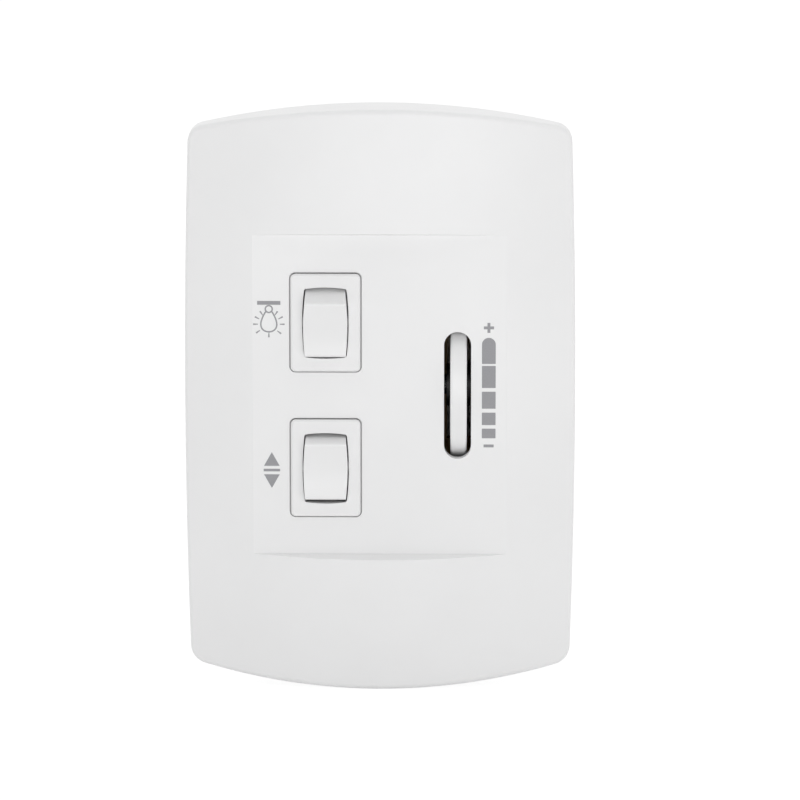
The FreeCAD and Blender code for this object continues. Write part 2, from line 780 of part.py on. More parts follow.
def rocker(label, lift, tilt):
    """Rocker key: concave crown, barrel sides, hollow below, pivot stubs and a guide for the plunger."""
    body = new_body(label)
    side = new_sketch(body, "YZ_Plane")
    foot = "(mouth_height / 2 - rocker_end_gap)"
    crest = "rocker_crest_spacing / 2"
    draw_loop(side, [(f"-{foot}", "-rocker_skirt"), (foot, "-rocker_skirt"),
                     (crest, "rocker_crest_rise"), (f"-{crest}", "rocker_crest_rise")],
              {2: ("0", "rocker_crest_rise - rocker_valley")})
    pad(side, "mouth_width", centred=True)
    crest_level = size("rocker_crest_rise")
    dress_edges(body, "Fillet", "rocker_crest_round", lambda edge: lies_at(edge, crest_level))
    trim = new_sketch(body, offset="-rocker_skirt - rocker_wall")
    draw_plain_box(trim, "0", "0", "2 * mouth_width", "2 * mouth_height")
    draw_barrel(trim, "mouth_width - 2 * rocker_side_gap", "mouth_height - rocker_end_gap",
                "mouth_side_bow", "mouth_end_bow")
    pocket(trim, "2 * rocker_crest_rise + 2 * rocker_wall", back=True)
    pivot = new_sketch(body, "YZ_Plane")
    draw_circle(pivot, "0", "0", "pivot_diameter")
    pad(pivot, "2 * pivot_reach", centred=True)
    under = new_sketch(body, offset="-rocker_skirt - pivot_diameter / 2")
    ceiling = "(rocker_crest_rise - rocker_valley - rocker_wall)"
    draw_barrel(under, "mouth_width - 2 * rocker_side_gap - 2 * rocker_wall",
                "rocker_crest_spacing - 2 * rocker_wall", "mouth_side_bow", "mouth_end_bow")
    pocket(under, f"rocker_skirt + pivot_diameter / 2 + {ceiling}", back=True)
    guide = new_sketch(body, offset="-guide_drop")
    draw_circle(guide, "0", "0", "guide_diameter")
    pad(guide, f"guide_drop + {ceiling} + rocker_wall / 2")
    bore = new_sketch(body, offset="-guide_drop")
    draw_circle(bore, "0", "0", "plunger_diameter + 2 * plunger_play")
    pocket(bore, "guide_drop + guide_top", back=True)
    stand(body, "-switch_offset", lift, "panel_level - pivot_depth", tilt)


def plunger(label, lift, tilt):
    """Round-nosed plunger that the rocker drags along the contact lever."""
    body = new_body(label)
    half = new_sketch(body, "XZ_Plane")
    radius = "plunger_diameter / 2"
    nose = f"-plunger_reach + {radius}"
    top = "-plunger_reach + plunger_length"
    draw_loop(half, [("0", "-plunger_reach"), (radius, nose), (radius, top), ("0", top)],
              {0: (f"{radius} * sqrt(0.5)", f"{nose} - {radius} * sqrt(0.5)")})
    turn = body.newObject("PartDesign::Revolution", label + "_turn")
    turn.Profile = half
    turn.ReferenceAxis = (half, ["V_Axis"])
    turn.Angle = 360
    doc.recompute()
    stand(body, "-switch_offset", lift, "panel_level - pivot_depth", tilt)


def plunger_spring(label, lift, tilt):
    """Coil spring between the plunger and the top of its bore."""
    start = "-plunger_reach + plunger_length + spring_gap + spring_wire / 2"
    rise = "guide_top + plunger_reach - plunger_length - 2 * spring_gap - spring_wire"
    path = doc.addObject("Part::Helix", label + "_path")
    bind(path, Pitch=f"({rise}) / spring_turns", Height=rise, Radius="spring_diameter / 2")
    path.setExpression("Placement.Base.z", bound(start))
    wire = doc.addObject("Part::Circle", label + "_wire")
    wire.Placement = FreeCAD.Placement(V(), FreeCAD.Rotation(V(1, 0, 0), 90))
    bind(wire, Radius="spring_wire / 2")
    wire.setExpression("Placement.Base.x", bound("spring_diameter / 2"))
    wire.setExpression("Placement.Base.z", bound(start))
    coil = doc.addObject("Part::Sweep", label)
    coil.Label = label
    coil.Sections = [wire]
    coil.Spine = (path, ["Edge1"])
    coil.Solid = True
    coil.Frenet = True
    stand(coil, "-switch_offset", lift, "panel_level - pivot_depth", tilt)


def contact_lever(label, lift, tilt):
    """See-saw contact strip with a button under each end and a groove that rides on the common blade."""
    body = new_body(label)
    strip = new_sketch(body)
    draw_slot(strip, "0", "0", "lever_width", "lever_length")
    pad(strip, "lever_thickness")
    buttons = new_sketch(body)
    for up in (-1, 1):
        draw_circle(buttons, "0", f"{up} * contact_spacing / 2", "contact_diameter")
    pad(buttons, "contact_height", back=True)
    groove = new_sketch(body, "YZ_Plane")
    radius = "(fulcrum_radius + lever_gap)"
    draw_loop(groove, [(f"-{radius}", "0"), (radius, "0")], {1: ("0", radius)})
    pocket(groove, "2 * lever_width", centred=True)
    stand(body, "-switch_offset", lift, "panel_level - lever_bottom", tilt)


def add_tail(body, place):
    """Add the narrow solder tail under a blade, through the board."""
    tail = new_sketch(body, offset="-board_drop")
    draw_plain_box(tail, "0", place, "tail_width", "blade_thickness")
    pad(tail, "lead_length", back=True)


def common_terminal(label, lift):
    """Straight blade that narrows to a rounded edge, the lever's fulcrum."""
    body = new_body(label)
    blade = new_sketch(body, "YZ_Plane")
    half = "blade_thickness / 2"
    shoulder = "-lever_bottom - blade_thickness"
    draw_loop(blade, [(f"-{half}", "-board_drop"), (half, "-board_drop"), (half, shoulder),
                      ("fulcrum_radius", "-lever_bottom"), ("-fulcrum_radius", "-lever_bottom"),
                      (f"-{half}", shoulder)],
              {3: ("0", "fulcrum_radius - lever_bottom")})
    pad(blade, "blade_width", centred=True)
    add_tail(body, "0")
    stand(body, "-switch_offset", lift, "panel_level")


def end_terminal(label, lift, side):
    """Bent blade with a fixed contact under one end of the lever."""
    body = new_body(label)
    bend = new_sketch(body, "YZ_Plane")
    top = "(-fixed_contact_depth - fixed_contact_height)"
    outer = f"{side} * (blade_spacing + blade_thickness / 2)"
    inner = f"{side} * (blade_spacing - blade_thickness / 2)"
    tip = f"{side} * (contact_spacing / 2 - contact_diameter / 2)"
    draw_loop(bend, [(outer, "-board_drop"), (outer, top), (tip, top), (tip, f"{top} - blade_thickness"),
                     (inner, f"{top} - blade_thickness"), (inner, "-board_drop")])
    pad(bend, "blade_width", centred=True)
    button = new_sketch(body, offset=top)
    draw_circle(button, "0", f"{side} * contact_spacing / 2", "contact_diameter")
    pad(button, "fixed_contact_height")
    add_tail(body, f"{side} * blade_spacing")
    stand(body, "-switch_offset", lift, "panel_level")


def rocker_switch(name, lift, tilt, ends):
    """One rocker switch: housing, rocker, plunger, spring, lever and terminals."""
    switch_housing(f"{name}_switch_housing", lift)
    rocker(f"{name}_rocker", lift, tilt)
    plunger(f"{name}_plunger", lift, tilt)
    plunger_spring(f"{name}_plunger_spring", lift, tilt)
    contact_lever(f"{name}_contact_lever", lift, f"-lever_ratio * ({tilt})")
    common_terminal(f"{name}_common_terminal", lift)
    for end, side in ends.items():
        end_terminal(f"{name}_{end}_terminal", lift, side)


def draw_shaft_bore(sketch, play):
    """Draw a round shaft's outline with its flat, widened by the play."""
    radius = f"(shaft_diameter / 2 + {play})"
    flat = f"(shaft_flat + {play})"
    chord = f"sqrt({radius}^2 - {flat}^2)"
    draw_loop(sketch, [(f"-{chord}", flat), (chord, flat)], {1: ("0", f"-{radius}")})


def speed_wheel():
    """Thumbwheel with a rounded rim, a thin web and a hub on the shaft."""
    body = new_body("speed_wheel")
    disc = new_sketch(body, "YZ_Plane")
    draw_circle(disc, "0", "0", "2 * wheel_radius")
    pad(disc, "wheel_width", centred=True)
    rim = size("wheel_width / 2")
    dress_edges(body, "Fillet", "wheel_edge_round", lambda edge: abs(abs(edge.BoundBox.XMin) - rim) < 1e-6)
    for side in (-1, 1):
        recess = new_sketch(body, "YZ_Plane", offset=f"{side} * wheel_width / 2")
        draw_circle(recess, "0", "0", "2 * (wheel_radius - wheel_rim)")
        pocket(recess, "(wheel_width - wheel_web) / 2", back=side < 0)
    hub = new_sketch(body, "YZ_Plane")
    draw_circle(hub, "0", "0", "hub_diameter")
    pad(hub, "hub_width", centred=True)
    bore = new_sketch(body, "YZ_Plane")
    draw_shaft_bore(bore, "shaft_play")
    pocket(bore, "2 * hub_width", centred=True)
    stand(body, "wheel_offset", "0", "wheel_level")


def pot_shaft():
    """Potentiometer rotor and shaft, with a flat where the wheel sits."""
    body = new_body("pot_shaft")
    start = "pot_back + rotor_gap"
    rotor = new_sketch(body, "YZ_Plane", offset=start)
    draw_circle(rotor, "0", "0", "rotor_diameter")
    pad(rotor, "rotor_thickness")
    bar = new_sketch(body, "YZ_Plane", offset=start)
    draw_circle(bar, "0", "0", "shaft_diameter")
    pad(bar, f"wheel_offset + hub_width / 2 + shaft_overhang - ({start})")
    flat = new_sketch(body, "YZ_Plane", offset="wheel_offset - hub_width / 2")
    draw_box(flat, "-shaft_diameter", "shaft_flat", "shaft_diameter", "shaft_diameter")
    pocket(flat, "2 * hub_width", back=True)
    stand(body, "0", "0", "wheel_level")


def draw_pot_outline(sketch):
    """Draw the potentiometer's upright outline, round above the shaft and square at the board."""
    half = "pot_width / 2"
    floor = "board_front - wheel_level"
    draw_loop(sketch, [(f"-{half}", floor), (half, floor), (half, "0"), (f"-{half}", "0")],
              {2: ("0", half)})


def potentiometer():
    """Moulded potentiometer body, its back plate and its three pins."""
    body = new_body("pot_body")
    outline = new_sketch(body, "YZ_Plane", offset="pot_back")
    draw_pot_outline(outline)
    pad(outline, "pot_length")
    chamber = new_sketch(body, "YZ_Plane", offset="pot_back")
    draw_circle(chamber, "0", "0", "rotor_diameter + 2 * rotor_gap")
    pocket(chamber, "rotor_thickness + 2 * rotor_gap", back=True)
    bore = new_sketch(body, "YZ_Plane", offset="pot_back")
    draw_circle(bore, "0", "0", "shaft_diameter + 2 * shaft_play")
    pocket(bore, "2 * pot_length", back=True)
    feet = new_sketch(body, offset="board_front - wheel_level")
    for step in (-1, 0, 1):
        draw_circle(feet, "(pot_front + pot_back) / 2", f"{step} * pot_pin_spacing", "lead_hole")
    pocket(feet, "pot_pin_depth", back=True)
    stand(body, "0", "0", "wheel_level")

    plate = new_body("pot_cover")
    outline = new_sketch(plate, "YZ_Plane", offset="pot_back")
    draw_pot_outline(outline)
    pad(outline, "pot_cover_thickness", back=True)
    stand(plate, "0", "0", "wheel_level")

    pins = [
        cylinder(f"pot_pin_{step + 1}", "(pot_front + pot_back) / 2", f"{step} * pot_pin_spacing",
                 "board_front - lead_length", "lead_diameter", "lead_length + pot_pin_depth")
        for step in (-1, 0, 1)
    ]
    stand(group("pot_pins", pins))


def triac_and_sink():
    """Triac bolted to a folded heat sink that stands on the board."""
    sink = new_body("heat_sink")
    plan = new_sketch(sink, offset="sink_base")
    left = "sink_left"
    right = "sink_left + sink_width"
    left_fin = f"{left} + sink_wall"
    right_fin = f"{right} - sink_wall"
    near = "sink_offset_y"
    face = "sink_offset_y + sink_wall"
    far = "sink_offset_y + sink_fin"
    draw_loop(plan, [(left, near), (right, near), (right, far), (right_fin, far), (right_fin, face),
                     (left_fin, face), (left_fin, far), (left, far)])
    pad(plan, "sink_height")
    hole = new_sketch(sink, "XZ_Plane", offset=f"-({face})")
    draw_circle(hole, "triac_offset", "triac_hole", "triac_screw_diameter + 2 * lead_play")
    pocket(hole, "2 * sink_wall", centred=True)
    stand(sink)

    triac = new_body("triac")
    case_left = "triac_offset - triac_width / 2"
    case_right = "triac_offset + triac_width / 2"
    case = new_sketch(triac, offset="triac_base")
    draw_box(case, case_left, face, case_right, f"{face} + triac_thickness")
    pad(case, "triac_body_height")
    tab = new_sketch(triac, offset="triac_base")
    draw_box(tab, case_left, face, case_right, f"{face} + triac_tab_thickness")
    pad(tab, "triac_body_height + triac_tab_height")
    hole = new_sketch(triac, "XZ_Plane", offset=f"-({face})")
    draw_circle(hole, "triac_offset", "triac_hole", "triac_screw_diameter + 2 * lead_play")
    pocket(hole, "4 * triac_tab_thickness", centred=True)
    leads = new_sketch(triac, offset="board_front - lead_length")
    for step in (-1, 0, 1):
        draw_circle(leads, f"triac_offset + {step} * triac_lead_spacing", f"{face} + triac_thickness / 2",
                    "lead_diameter")
    pad(leads, "lead_length + triac_lift + triac_body_height / 2")
    stand(triac)

    head = cylinder("triac_screw_cap", "triac_offset", f"{face} + triac_tab_thickness", "triac_hole",
                    "triac_screw_head", "triac_screw_head_height", "y")
    shank = cylinder("triac_screw_shank", "triac_offset", "sink_offset_y - triac_nut_height", "triac_hole",
                     "triac_screw_diameter", "triac_nut_height + sink_wall + triac_tab_thickness", "y")
    stand(fuse("triac_screw", [head, shank]))

    nut = new_body("triac_nut")
    hexagon = new_sketch(nut, "XZ_Plane", offset="-sink_offset_y")
    corner = "triac_screw_head / sqrt(3)"
    flat = "triac_screw_head / 2"
    draw_loop(hexagon, [("triac_offset + " + x, "triac_hole + " + z) for x, z in (
        (corner, "0"), (f"{corner} / 2", flat), (f"-{corner} / 2", flat),
        (f"-{corner}", "0"), (f"-{corner} / 2", f"-{flat}"), (f"{corner} / 2", f"-{flat}"))])
    pad(hexagon, "triac_nut_height")
    bore = new_sketch(nut, "XZ_Plane", offset="-sink_offset_y")
    draw_circle(bore, "triac_offset", "triac_hole", "triac_screw_diameter + lead_play")
    pocket(bore, "4 * triac_nut_height", centred=True)
    stand(nut)


def turned(label, outline, x, y):
    """Turn a half outline about its upright axis and place it on the board."""
    body = new_body(label)
    half = new_sketch(body, "XZ_Plane")
    draw_loop(half, outline)
    turn = body.newObject("PartDesign::Revolution", label + "_turn")
    turn.Profile = half
    turn.ReferenceAxis = (half, ["V_Axis"])
    turn.Angle = 360
    doc.recompute()
    stand(body, x, y, "board_front")
    return body


def choke():
    """Ferrite drum core and the copper winding in its waist."""
    rim = "choke_diameter / 2"
    waist = "choke_waist / 2"
    outer = "choke_diameter / 2 - choke_wire_inset"
    low = "choke_flange"
    high = "choke_height - choke_flange"
    top = "choke_height"
    turned("choke_core", [("0", "0"), (rim, "0"), (rim, low), (waist, low), (waist, high), (rim, high),
                          (rim, top), ("0", top)], "choke_offset_x", "-choke_offset_y")
    turned("choke_winding", [(waist, low), (outer, low), (outer, high), (waist, high)],
           "choke_offset_x", "-choke_offset_y")


def box_capacitor(label, y, length, thickness, height, spacing):
    """Boxed capacitor on the board with two leads through it."""
    body = new_body(label)
    case = new_sketch(body, offset="board_front")
    draw_plain_box(case, "0", y, thickness, length)
    pad(case, height)
    top = size(f"board_front + {height}")
    dress_edges(body, "Fillet", "film_edge", lambda edge: is_upright(edge) or lies_at(edge, top))
    leads = new_sketch(body, offset="board_front - lead_length")
    for side in (-1, 1):
        draw_circle(leads, "0", f"{y} + {side} * ({spacing}) / 2", "lead_diameter")
    pad(leads, "2 * lead_length")
    stand(body)


def axial_part(label, x, y, diameter, length, span):
    """Round part lying along y just above the board, on one wire bent down through it at both ends."""
    body = new_body(label)
    level = f"board_front + axial_lift + ({diameter}) / 2"
    foot = "board_front - lead_length"
    bend = "(2 * lead_diameter)"
    corner = f"{bend} * (1 - sqrt(0.5))"
    near = f"{y} - ({span}) / 2"
    far = f"{y} + ({span}) / 2"
    turn_level = f"{level} - {corner}"
    wire = new_sketch(body, "YZ_Plane", offset=x)
    draw_path(wire, [(near, foot), (near, f"{level} - {bend}"), (f"{near} + {bend}", level),
                     (f"{far} - {bend}", level), (far, f"{level} - {bend}"), (far, foot)],
              {1: (f"{near} + {corner}", turn_level), 3: (f"{far} - {corner}", turn_level)})
    section = new_sketch(body, offset=foot)
    draw_circle(section, x, near, "lead_diameter")
    lead = body.newObject("PartDesign::AdditivePipe", label + "_lead")
    lead.Profile = section
    lead.Spine = (wire, [])
    doc.recompute()
    case = new_sketch(body, "XZ_Plane", offset=f"-({y})")
    draw_circle(case, x, level, diameter)
    pad(case, length, centred=True)
    return body


def axial_parts():
    """Fuse, two resistors and the diac."""
    stand(axial_part("fuse", "-axial_offset_x", "0", "fuse_diameter", "fuse_length", "fuse_span"))
    pair = [
        axial_part(f"resistor_{index}", "-axial_offset_x", f"{up} * resistor_offset_y",
                   "resistor_diameter", "resistor_length", "resistor_span")
        for index, up in enumerate((-1, 1))
    ]
    stand(group("resistors", pair))
    stand(axial_part("diac", "0", "-diac_offset_y", "diac_diameter", "diac_length", "diac_span"))


def terminal_block():
    """Row of wire terminals behind the board: moulded block, clamp cages and screws."""
    face = "-block_offset - block_height / 2"
    block = new_body("terminal_block")
    outline = new_sketch(block, offset="block_back")
    draw_plain_box(outline, "0", "-block_offset", "block_width", "block_height")
    pad(outline, "block_depth")
    back = size("block_back")
    dress_edges(block, "Chamfer", "block_edge", lambda edge: lies_at(edge, back))
    mouths = new_sketch(block, "XZ_Plane", offset=f"-({face})")
    for pole in range(pole_total()):
        draw_plain_box(mouths, pole_place(pole), "cage_top - cage_height / 2",
                       "cage_width + 2 * cage_play", "cage_height + 2 * cage_play")
    pocket(mouths, "cage_recess + cage_length + cage_play")
    wells = new_sketch(block, offset="block_back")
    for pole in range(pole_total()):
        draw_circle(wells, pole_place(pole), "-block_offset", "terminal_screw_head + 2 * cage_play")
    pocket(wells, "cage_top - cage_height / 2 - (block_back)", back=True)
    feet = new_sketch(block, offset="board_back")
    for pole in range(pole_total()):
        draw_circle(feet, pole_place(pole), "-block_offset", "lead_hole")
    pocket(feet, "cage_lift + cage_height / 2")
    stand(block)

    cages = []
    screws = []
    for pole in range(pole_total()):
        place = pole_place(pole)
        cage = new_body(f"terminal_cage_{pole}")
        frame = new_sketch(cage, "XZ_Plane", offset="-cage_front")
        draw_plain_box(frame, place, "cage_top - cage_height / 2", "cage_width", "cage_height")
        draw_circle(frame, place, "cage_top - cage_height / 2", "wire_hole")
        pad(frame, "cage_length", back=True)
        thread = new_sketch(cage, offset="cage_top - cage_height")
        draw_circle(thread, place, "-block_offset", "terminal_screw_diameter + cage_play")
        pocket(thread, "cage_height / 2", back=True)
        pin = new_sketch(cage, offset="cage_top - wire_hole / 8")
        draw_circle(pin, place, "-block_offset", "lead_diameter")
        pad(pin, "wire_hole / 8 + cage_lift + board_thickness + tail_overhang / 2")
        cages.append(cage)
        low = "block_back + terminal_screw_recess"
        head = cylinder(f"terminal_screw_head_{pole}", place, "-block_offset", low,
                        "terminal_screw_head", "terminal_screw_head_height")
        shank = cylinder(f"terminal_screw_shank_{pole}", place, "-block_offset", low,
                         "terminal_screw_diameter", f"cage_top - cage_height / 2 - wire_hole / 4 - ({low})")
        screws.append(fuse(f"terminal_screw_{pole}", [head, shank]))
    stand(group("terminal_cages", cages))
    stand(group("terminal_screws", screws))


def check_document():
    """Stop on any object that failed, or any sub-part without a valid solid."""
    for item in doc.Objects:
        if "Invalid" in item.State or "Error" in item.State:
            raise RuntimeError(f"{item.Label} failed: {item.State}")
    for label, node in NODES.items():
        if node.Shape.isNull() or not node.Shape.isValid() or not node.Shape.Solids:
            raise RuntimeError(f"{label} has no valid solid")


front_plate()
mounting_frame()
rear_cover()
cover_screws()
circuit_board()
rocker_switch("light", "switch_lift", "rocker_tilt", {"live": -1})
rocker_switch("direction", "-switch_lift", "0", {"forward": 1, "reverse": -1})
speed_wheel()
pot_shaft()
potentiometer()
triac_and_sink()
choke()
box_capacitor("film_capacitor", "film_offset_y", "film_length", "film_thickness", "film_height",
              "film_lead_spacing")
box_capacitor("timing_capacitor", "-timer_offset_y", "timer_length", "timer_thickness", "timer_height",
              "timer_lead_spacing")
axial_parts()
terminal_block()

doc.recompute()
check_document()
os.makedirs("parts", exist_ok=True)
for label, node in NODES.items():
    node.Shape.exportStep(f"parts/{label}.step")
    solids = node.Shape.Solids
    print(label, len(solids), round(sum(solid.Volume for solid in solids), 3))
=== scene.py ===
"""Looks of a fan speed control switch: finishes, marks, screws, springs and a plain studio."""

import json
import logging
from dataclasses import dataclass, replace
from enum import Enum
from typing import Any

import bmesh
import bpy
import numpy as np
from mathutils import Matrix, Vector

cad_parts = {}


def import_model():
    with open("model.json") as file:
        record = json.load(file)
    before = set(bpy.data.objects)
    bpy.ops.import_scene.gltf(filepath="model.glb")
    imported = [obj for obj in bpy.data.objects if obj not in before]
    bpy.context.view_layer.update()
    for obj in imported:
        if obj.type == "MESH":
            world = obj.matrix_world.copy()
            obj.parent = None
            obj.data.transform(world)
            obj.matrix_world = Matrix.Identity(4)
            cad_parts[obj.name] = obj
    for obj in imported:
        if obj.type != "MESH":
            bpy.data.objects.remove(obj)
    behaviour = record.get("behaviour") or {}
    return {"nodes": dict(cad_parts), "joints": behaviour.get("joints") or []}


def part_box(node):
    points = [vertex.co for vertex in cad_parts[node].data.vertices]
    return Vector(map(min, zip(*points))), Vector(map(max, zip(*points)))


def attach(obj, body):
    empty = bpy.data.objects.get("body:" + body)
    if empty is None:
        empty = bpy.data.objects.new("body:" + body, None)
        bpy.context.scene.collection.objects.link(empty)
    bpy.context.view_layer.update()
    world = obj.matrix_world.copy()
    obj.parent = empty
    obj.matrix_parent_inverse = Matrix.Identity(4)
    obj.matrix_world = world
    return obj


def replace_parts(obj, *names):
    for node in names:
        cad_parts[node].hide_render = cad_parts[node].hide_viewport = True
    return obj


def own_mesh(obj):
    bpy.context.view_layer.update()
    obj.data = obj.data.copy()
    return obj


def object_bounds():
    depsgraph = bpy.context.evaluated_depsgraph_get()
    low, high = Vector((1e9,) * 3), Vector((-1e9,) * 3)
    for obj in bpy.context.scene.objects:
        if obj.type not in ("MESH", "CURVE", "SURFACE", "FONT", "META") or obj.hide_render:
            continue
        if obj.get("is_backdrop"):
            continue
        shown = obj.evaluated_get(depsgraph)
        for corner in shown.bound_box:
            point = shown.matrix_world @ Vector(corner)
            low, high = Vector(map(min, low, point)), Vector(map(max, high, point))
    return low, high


Colour = tuple[float, float, float]
Triple = tuple[float, float, float]
Pair = tuple[float, float]
Stops = tuple[Pair, ...]
Nodes = dict[str, bpy.types.Object]

LOG = logging.getLogger("fan_speed_switch")
# Side of the picture in pixels
IMAGE_SIDE = 800
MM = 0.001
FULL_TURN = 2 * np.pi
# Points along a printed curve
CURVE_STEPS = 48
# Distance in metres below which points are one point
WELD = 1e-8

# Grey levels between which most of a noise pattern lies
NOISE_SPAN: Pair = (0.3, 0.7)
RANGE_SOCKETS = ("From Min", "From Max", "To Min", "To Max")

# Painted shade: share of a colour that is left at each openness, in plain gaps, in the plate's corners, in
# the wheel's slot
GAP_SHADE: Stops = ((0.0, 0.03), (0.2, 0.42), (0.4, 0.94), (0.8, 1.0))
CORNER_SHADE: Stops = ((0.0, 0.03), (0.3, 0.5), (0.5, 0.88), (0.75, 1.0))
WELL_SHADE: Stops = ((0.0, 0.0), (0.1, 0.02), (0.22, 0.6), (0.4, 1.0))
# Reach of the painted shade in the slot in metres, share of the wheel's colour left at its hub as painted
# shade, rays for each point
WELL_REACH = 0.02
HUB_SHADE = 0.02
GAP_SAMPLES = 8

WHITE: Colour = (0.86, 0.86, 0.862)
BRASS: Colour = (0.72, 0.52, 0.22)
ZINC: Colour = (0.66, 0.66, 0.65)
ALUMINIUM: Colour = (0.74, 0.75, 0.76)


class Mould(Enum):
    """Texture of a moulding tool, as grain per metre and depth in metres."""

    POLISHED = (700.0, 0.000006)
    SATIN = (1800.0, 0.000010)
    SPARK = (3600.0, 0.000030)


class Recess(Enum):
    """Driver recess in a screw's head."""

    CROSS = "cross"
    SLOT = "slot"


class NodeGraph:
    """Node tree of a material or a world, with short ways to add and join nodes."""

    def __init__(self, owner: bpy.types.Material | bpy.types.World, output: str) -> None:
        """Clear the tree and add its output.

        Args:
            owner: Material or world that the tree belongs to.
            output: Kind of the output node.
        """
        owner.use_nodes = True
        self.tree = owner.node_tree
        self.tree.nodes.clear()
        self.target = self.add(output).inputs["Surface"]

    def add(self, kind: str) -> bpy.types.Node:
        """Add a node of a kind."""
        return self.tree.nodes.new(kind)

    def join(self, source: Any, target: Any) -> None:
        """Link an output socket to an input socket."""
        self.tree.links.new(source, target)

    def map_range(self, value: Any, source: Pair, target: Pair) -> Any:
        """Map a socket evenly from one span to another, held at the ends.

        Args:
            value: Grey socket to map.
            source: Ends of its own span.
            target: What they become.

        Returns:
            The mapped socket.
        """
        node = self.add("ShaderNodeMapRange")
        for socket, level in zip(RANGE_SOCKETS, source + target):
            node.inputs[socket].default_value = level
        self.join(value, node.inputs["Value"])
        return node.outputs["Result"]


class FinishGraph(NodeGraph):
    """Node tree of one finish, round a principled surface."""

    def __init__(self, name: str) -> None:
        """Start a material with a plain principled surface.

        Args:
            name: Name of the material.
        """
        self.material = bpy.data.materials.new(name)
        super().__init__(self.material, "ShaderNodeOutputMaterial")
        self.surface = self.add("ShaderNodeBsdfPrincipled")
        self.join(self.surface.outputs["BSDF"], self.target)
        self.place = self.add("ShaderNodeTexCoord").outputs["Object"]

    def noise(self, scale: float, detail: float = 2.0, stretch: Triple = (1.0, 1.0, 1.0)) -> Any:
        """Add a noise pattern fixed to the piece.

        Args:
            scale: Grains per metre.
            detail: Octaves of finer noise.
            stretch: Factors on the grain along x, y and z.

        Returns:
            The pattern's grey output, about 0.3 to 0.7.
        """
        mapping = self.add("ShaderNodeMapping")
        mapping.inputs["Scale"].default_value = stretch
        self.join(self.place, mapping.inputs["Vector"])
        pattern = self.add("ShaderNodeTexNoise")
        pattern.inputs["Scale"].default_value = scale
        pattern.inputs["Detail"].default_value = detail
        self.join(mapping.outputs["Vector"], pattern.inputs["Vector"])
        return pattern.outputs["Fac"]

    def tint(self, pattern: Any, colour: Colour, spread: float) -> None:
        """Vary the base colour with a pattern.

        Args:
            pattern: Grey socket that drives the change.
            colour: Middle colour.
            spread: Share by which the colour goes down and up.
        """
        ramp = self.add("ShaderNodeValToRGB")
        for stop, place, factor in zip(ramp.color_ramp.elements, NOISE_SPAN, (1 - spread, 1 + spread)):
            stop.position = place
            stop.color = (*(min(1.0, channel * factor) for channel in colour), 1.0)
        self.join(pattern, ramp.inputs["Fac"])
        self.join(ramp.outputs["Color"], self.surface.inputs["Base Color"])

    def shade_gaps(self, reach: float, stops: Stops, alone: bool = False) -> None:
        """Paint shade into the base colour where the surface is sheltered, darker in narrow gaps and
        corners.

        Args:
            reach: Distance in metres over which other surfaces shelter a point.
            stops: Share of the colour that is left at each openness, from 0 sheltered to 1 open.
            alone: Whether only the piece itself shelters it.
        """
        # Painted shade: ambient occlusion darkens the base colour in sheltered gaps
        shelter = self.add("ShaderNodeAmbientOcclusion")
        shelter.samples = GAP_SAMPLES
        shelter.only_local = alone
        shelter.inputs["Distance"].default_value = reach
        ramp = self.add("ShaderNodeValToRGB")
        elements = ramp.color_ramp.elements
        for place, _ in stops[1:-1]:
            elements.new(place)
        for stop, (place, share) in zip(elements, stops):
            stop.position = place
            stop.color = (share, share, share, 1.0)
        self.join(shelter.outputs["AO"], ramp.inputs["Fac"])
        self.darken(ramp.outputs["Color"])

    def shade_hub(self, axis: Triple, radii: Pair) -> None:
        """Paint shade into the base colour towards an axis along x, dark round a hub where no light reaches.

        The share of the colour that is left grows evenly with the distance from the axis,
        sqrt(y^2 + z^2), from almost none at the first radius to all at the second.

        Args:
            axis: A point of the axis in metres.
            radii: The two radii in metres.
        """
        shift = self.add("ShaderNodeMapping")
        shift.inputs["Scale"].default_value = (0.0, 1.0, 1.0)
        shift.inputs["Location"].default_value = (0.0, -axis[1], -axis[2])
        length = self.add("ShaderNodeVectorMath")
        length.operation = "LENGTH"
        self.join(self.place, shift.inputs["Vector"])
        self.join(shift.outputs["Vector"], length.inputs[0])
        self.darken(self.map_range(length.outputs["Value"], radii, (HUB_SHADE, 1.0)))

    def darken(self, share: Any) -> None:
        """Multiply the base colour by a grey socket, painting shade into it.

        Args:
            share: Socket with the share of the colour that is left.
        """
        shade = self.add("ShaderNodeMix")
        shade.data_type = "RGBA"
        shade.blend_type = "MULTIPLY"
        shade.inputs["Factor"].default_value = 1.0
        target = self.surface.inputs["Base Color"]
        paint = target.links[0].from_socket
        colours = [socket for socket in shade.inputs if socket.type == "RGBA"]
        self.join(paint, colours[0])
        self.join(share, colours[1])
        self.join(next(socket for socket in shade.outputs if socket.type == "RGBA"), target)

    def polish(self, pattern: Any, span: Pair) -> None:
        """Vary the roughness with a pattern.

        Args:
            pattern: Grey socket that drives the change.
            span: Lowest and highest roughness.
        """
        self.join(self.map_range(pattern, NOISE_SPAN, span), self.surface.inputs["Roughness"])

    def relief(self, pattern: Any, depth: float) -> None:
        """Emboss a pattern.

        Args:
            pattern: Grey socket with the height.
            depth: Depth in metres.
        """
        bump = self.add("ShaderNodeBump")
        bump.inputs["Distance"].default_value = depth
        bump.inputs["Strength"].default_value = 1.0
        self.join(pattern, bump.inputs["Height"])
        self.join(bump.outputs["Normal"], self.surface.inputs["Normal"])


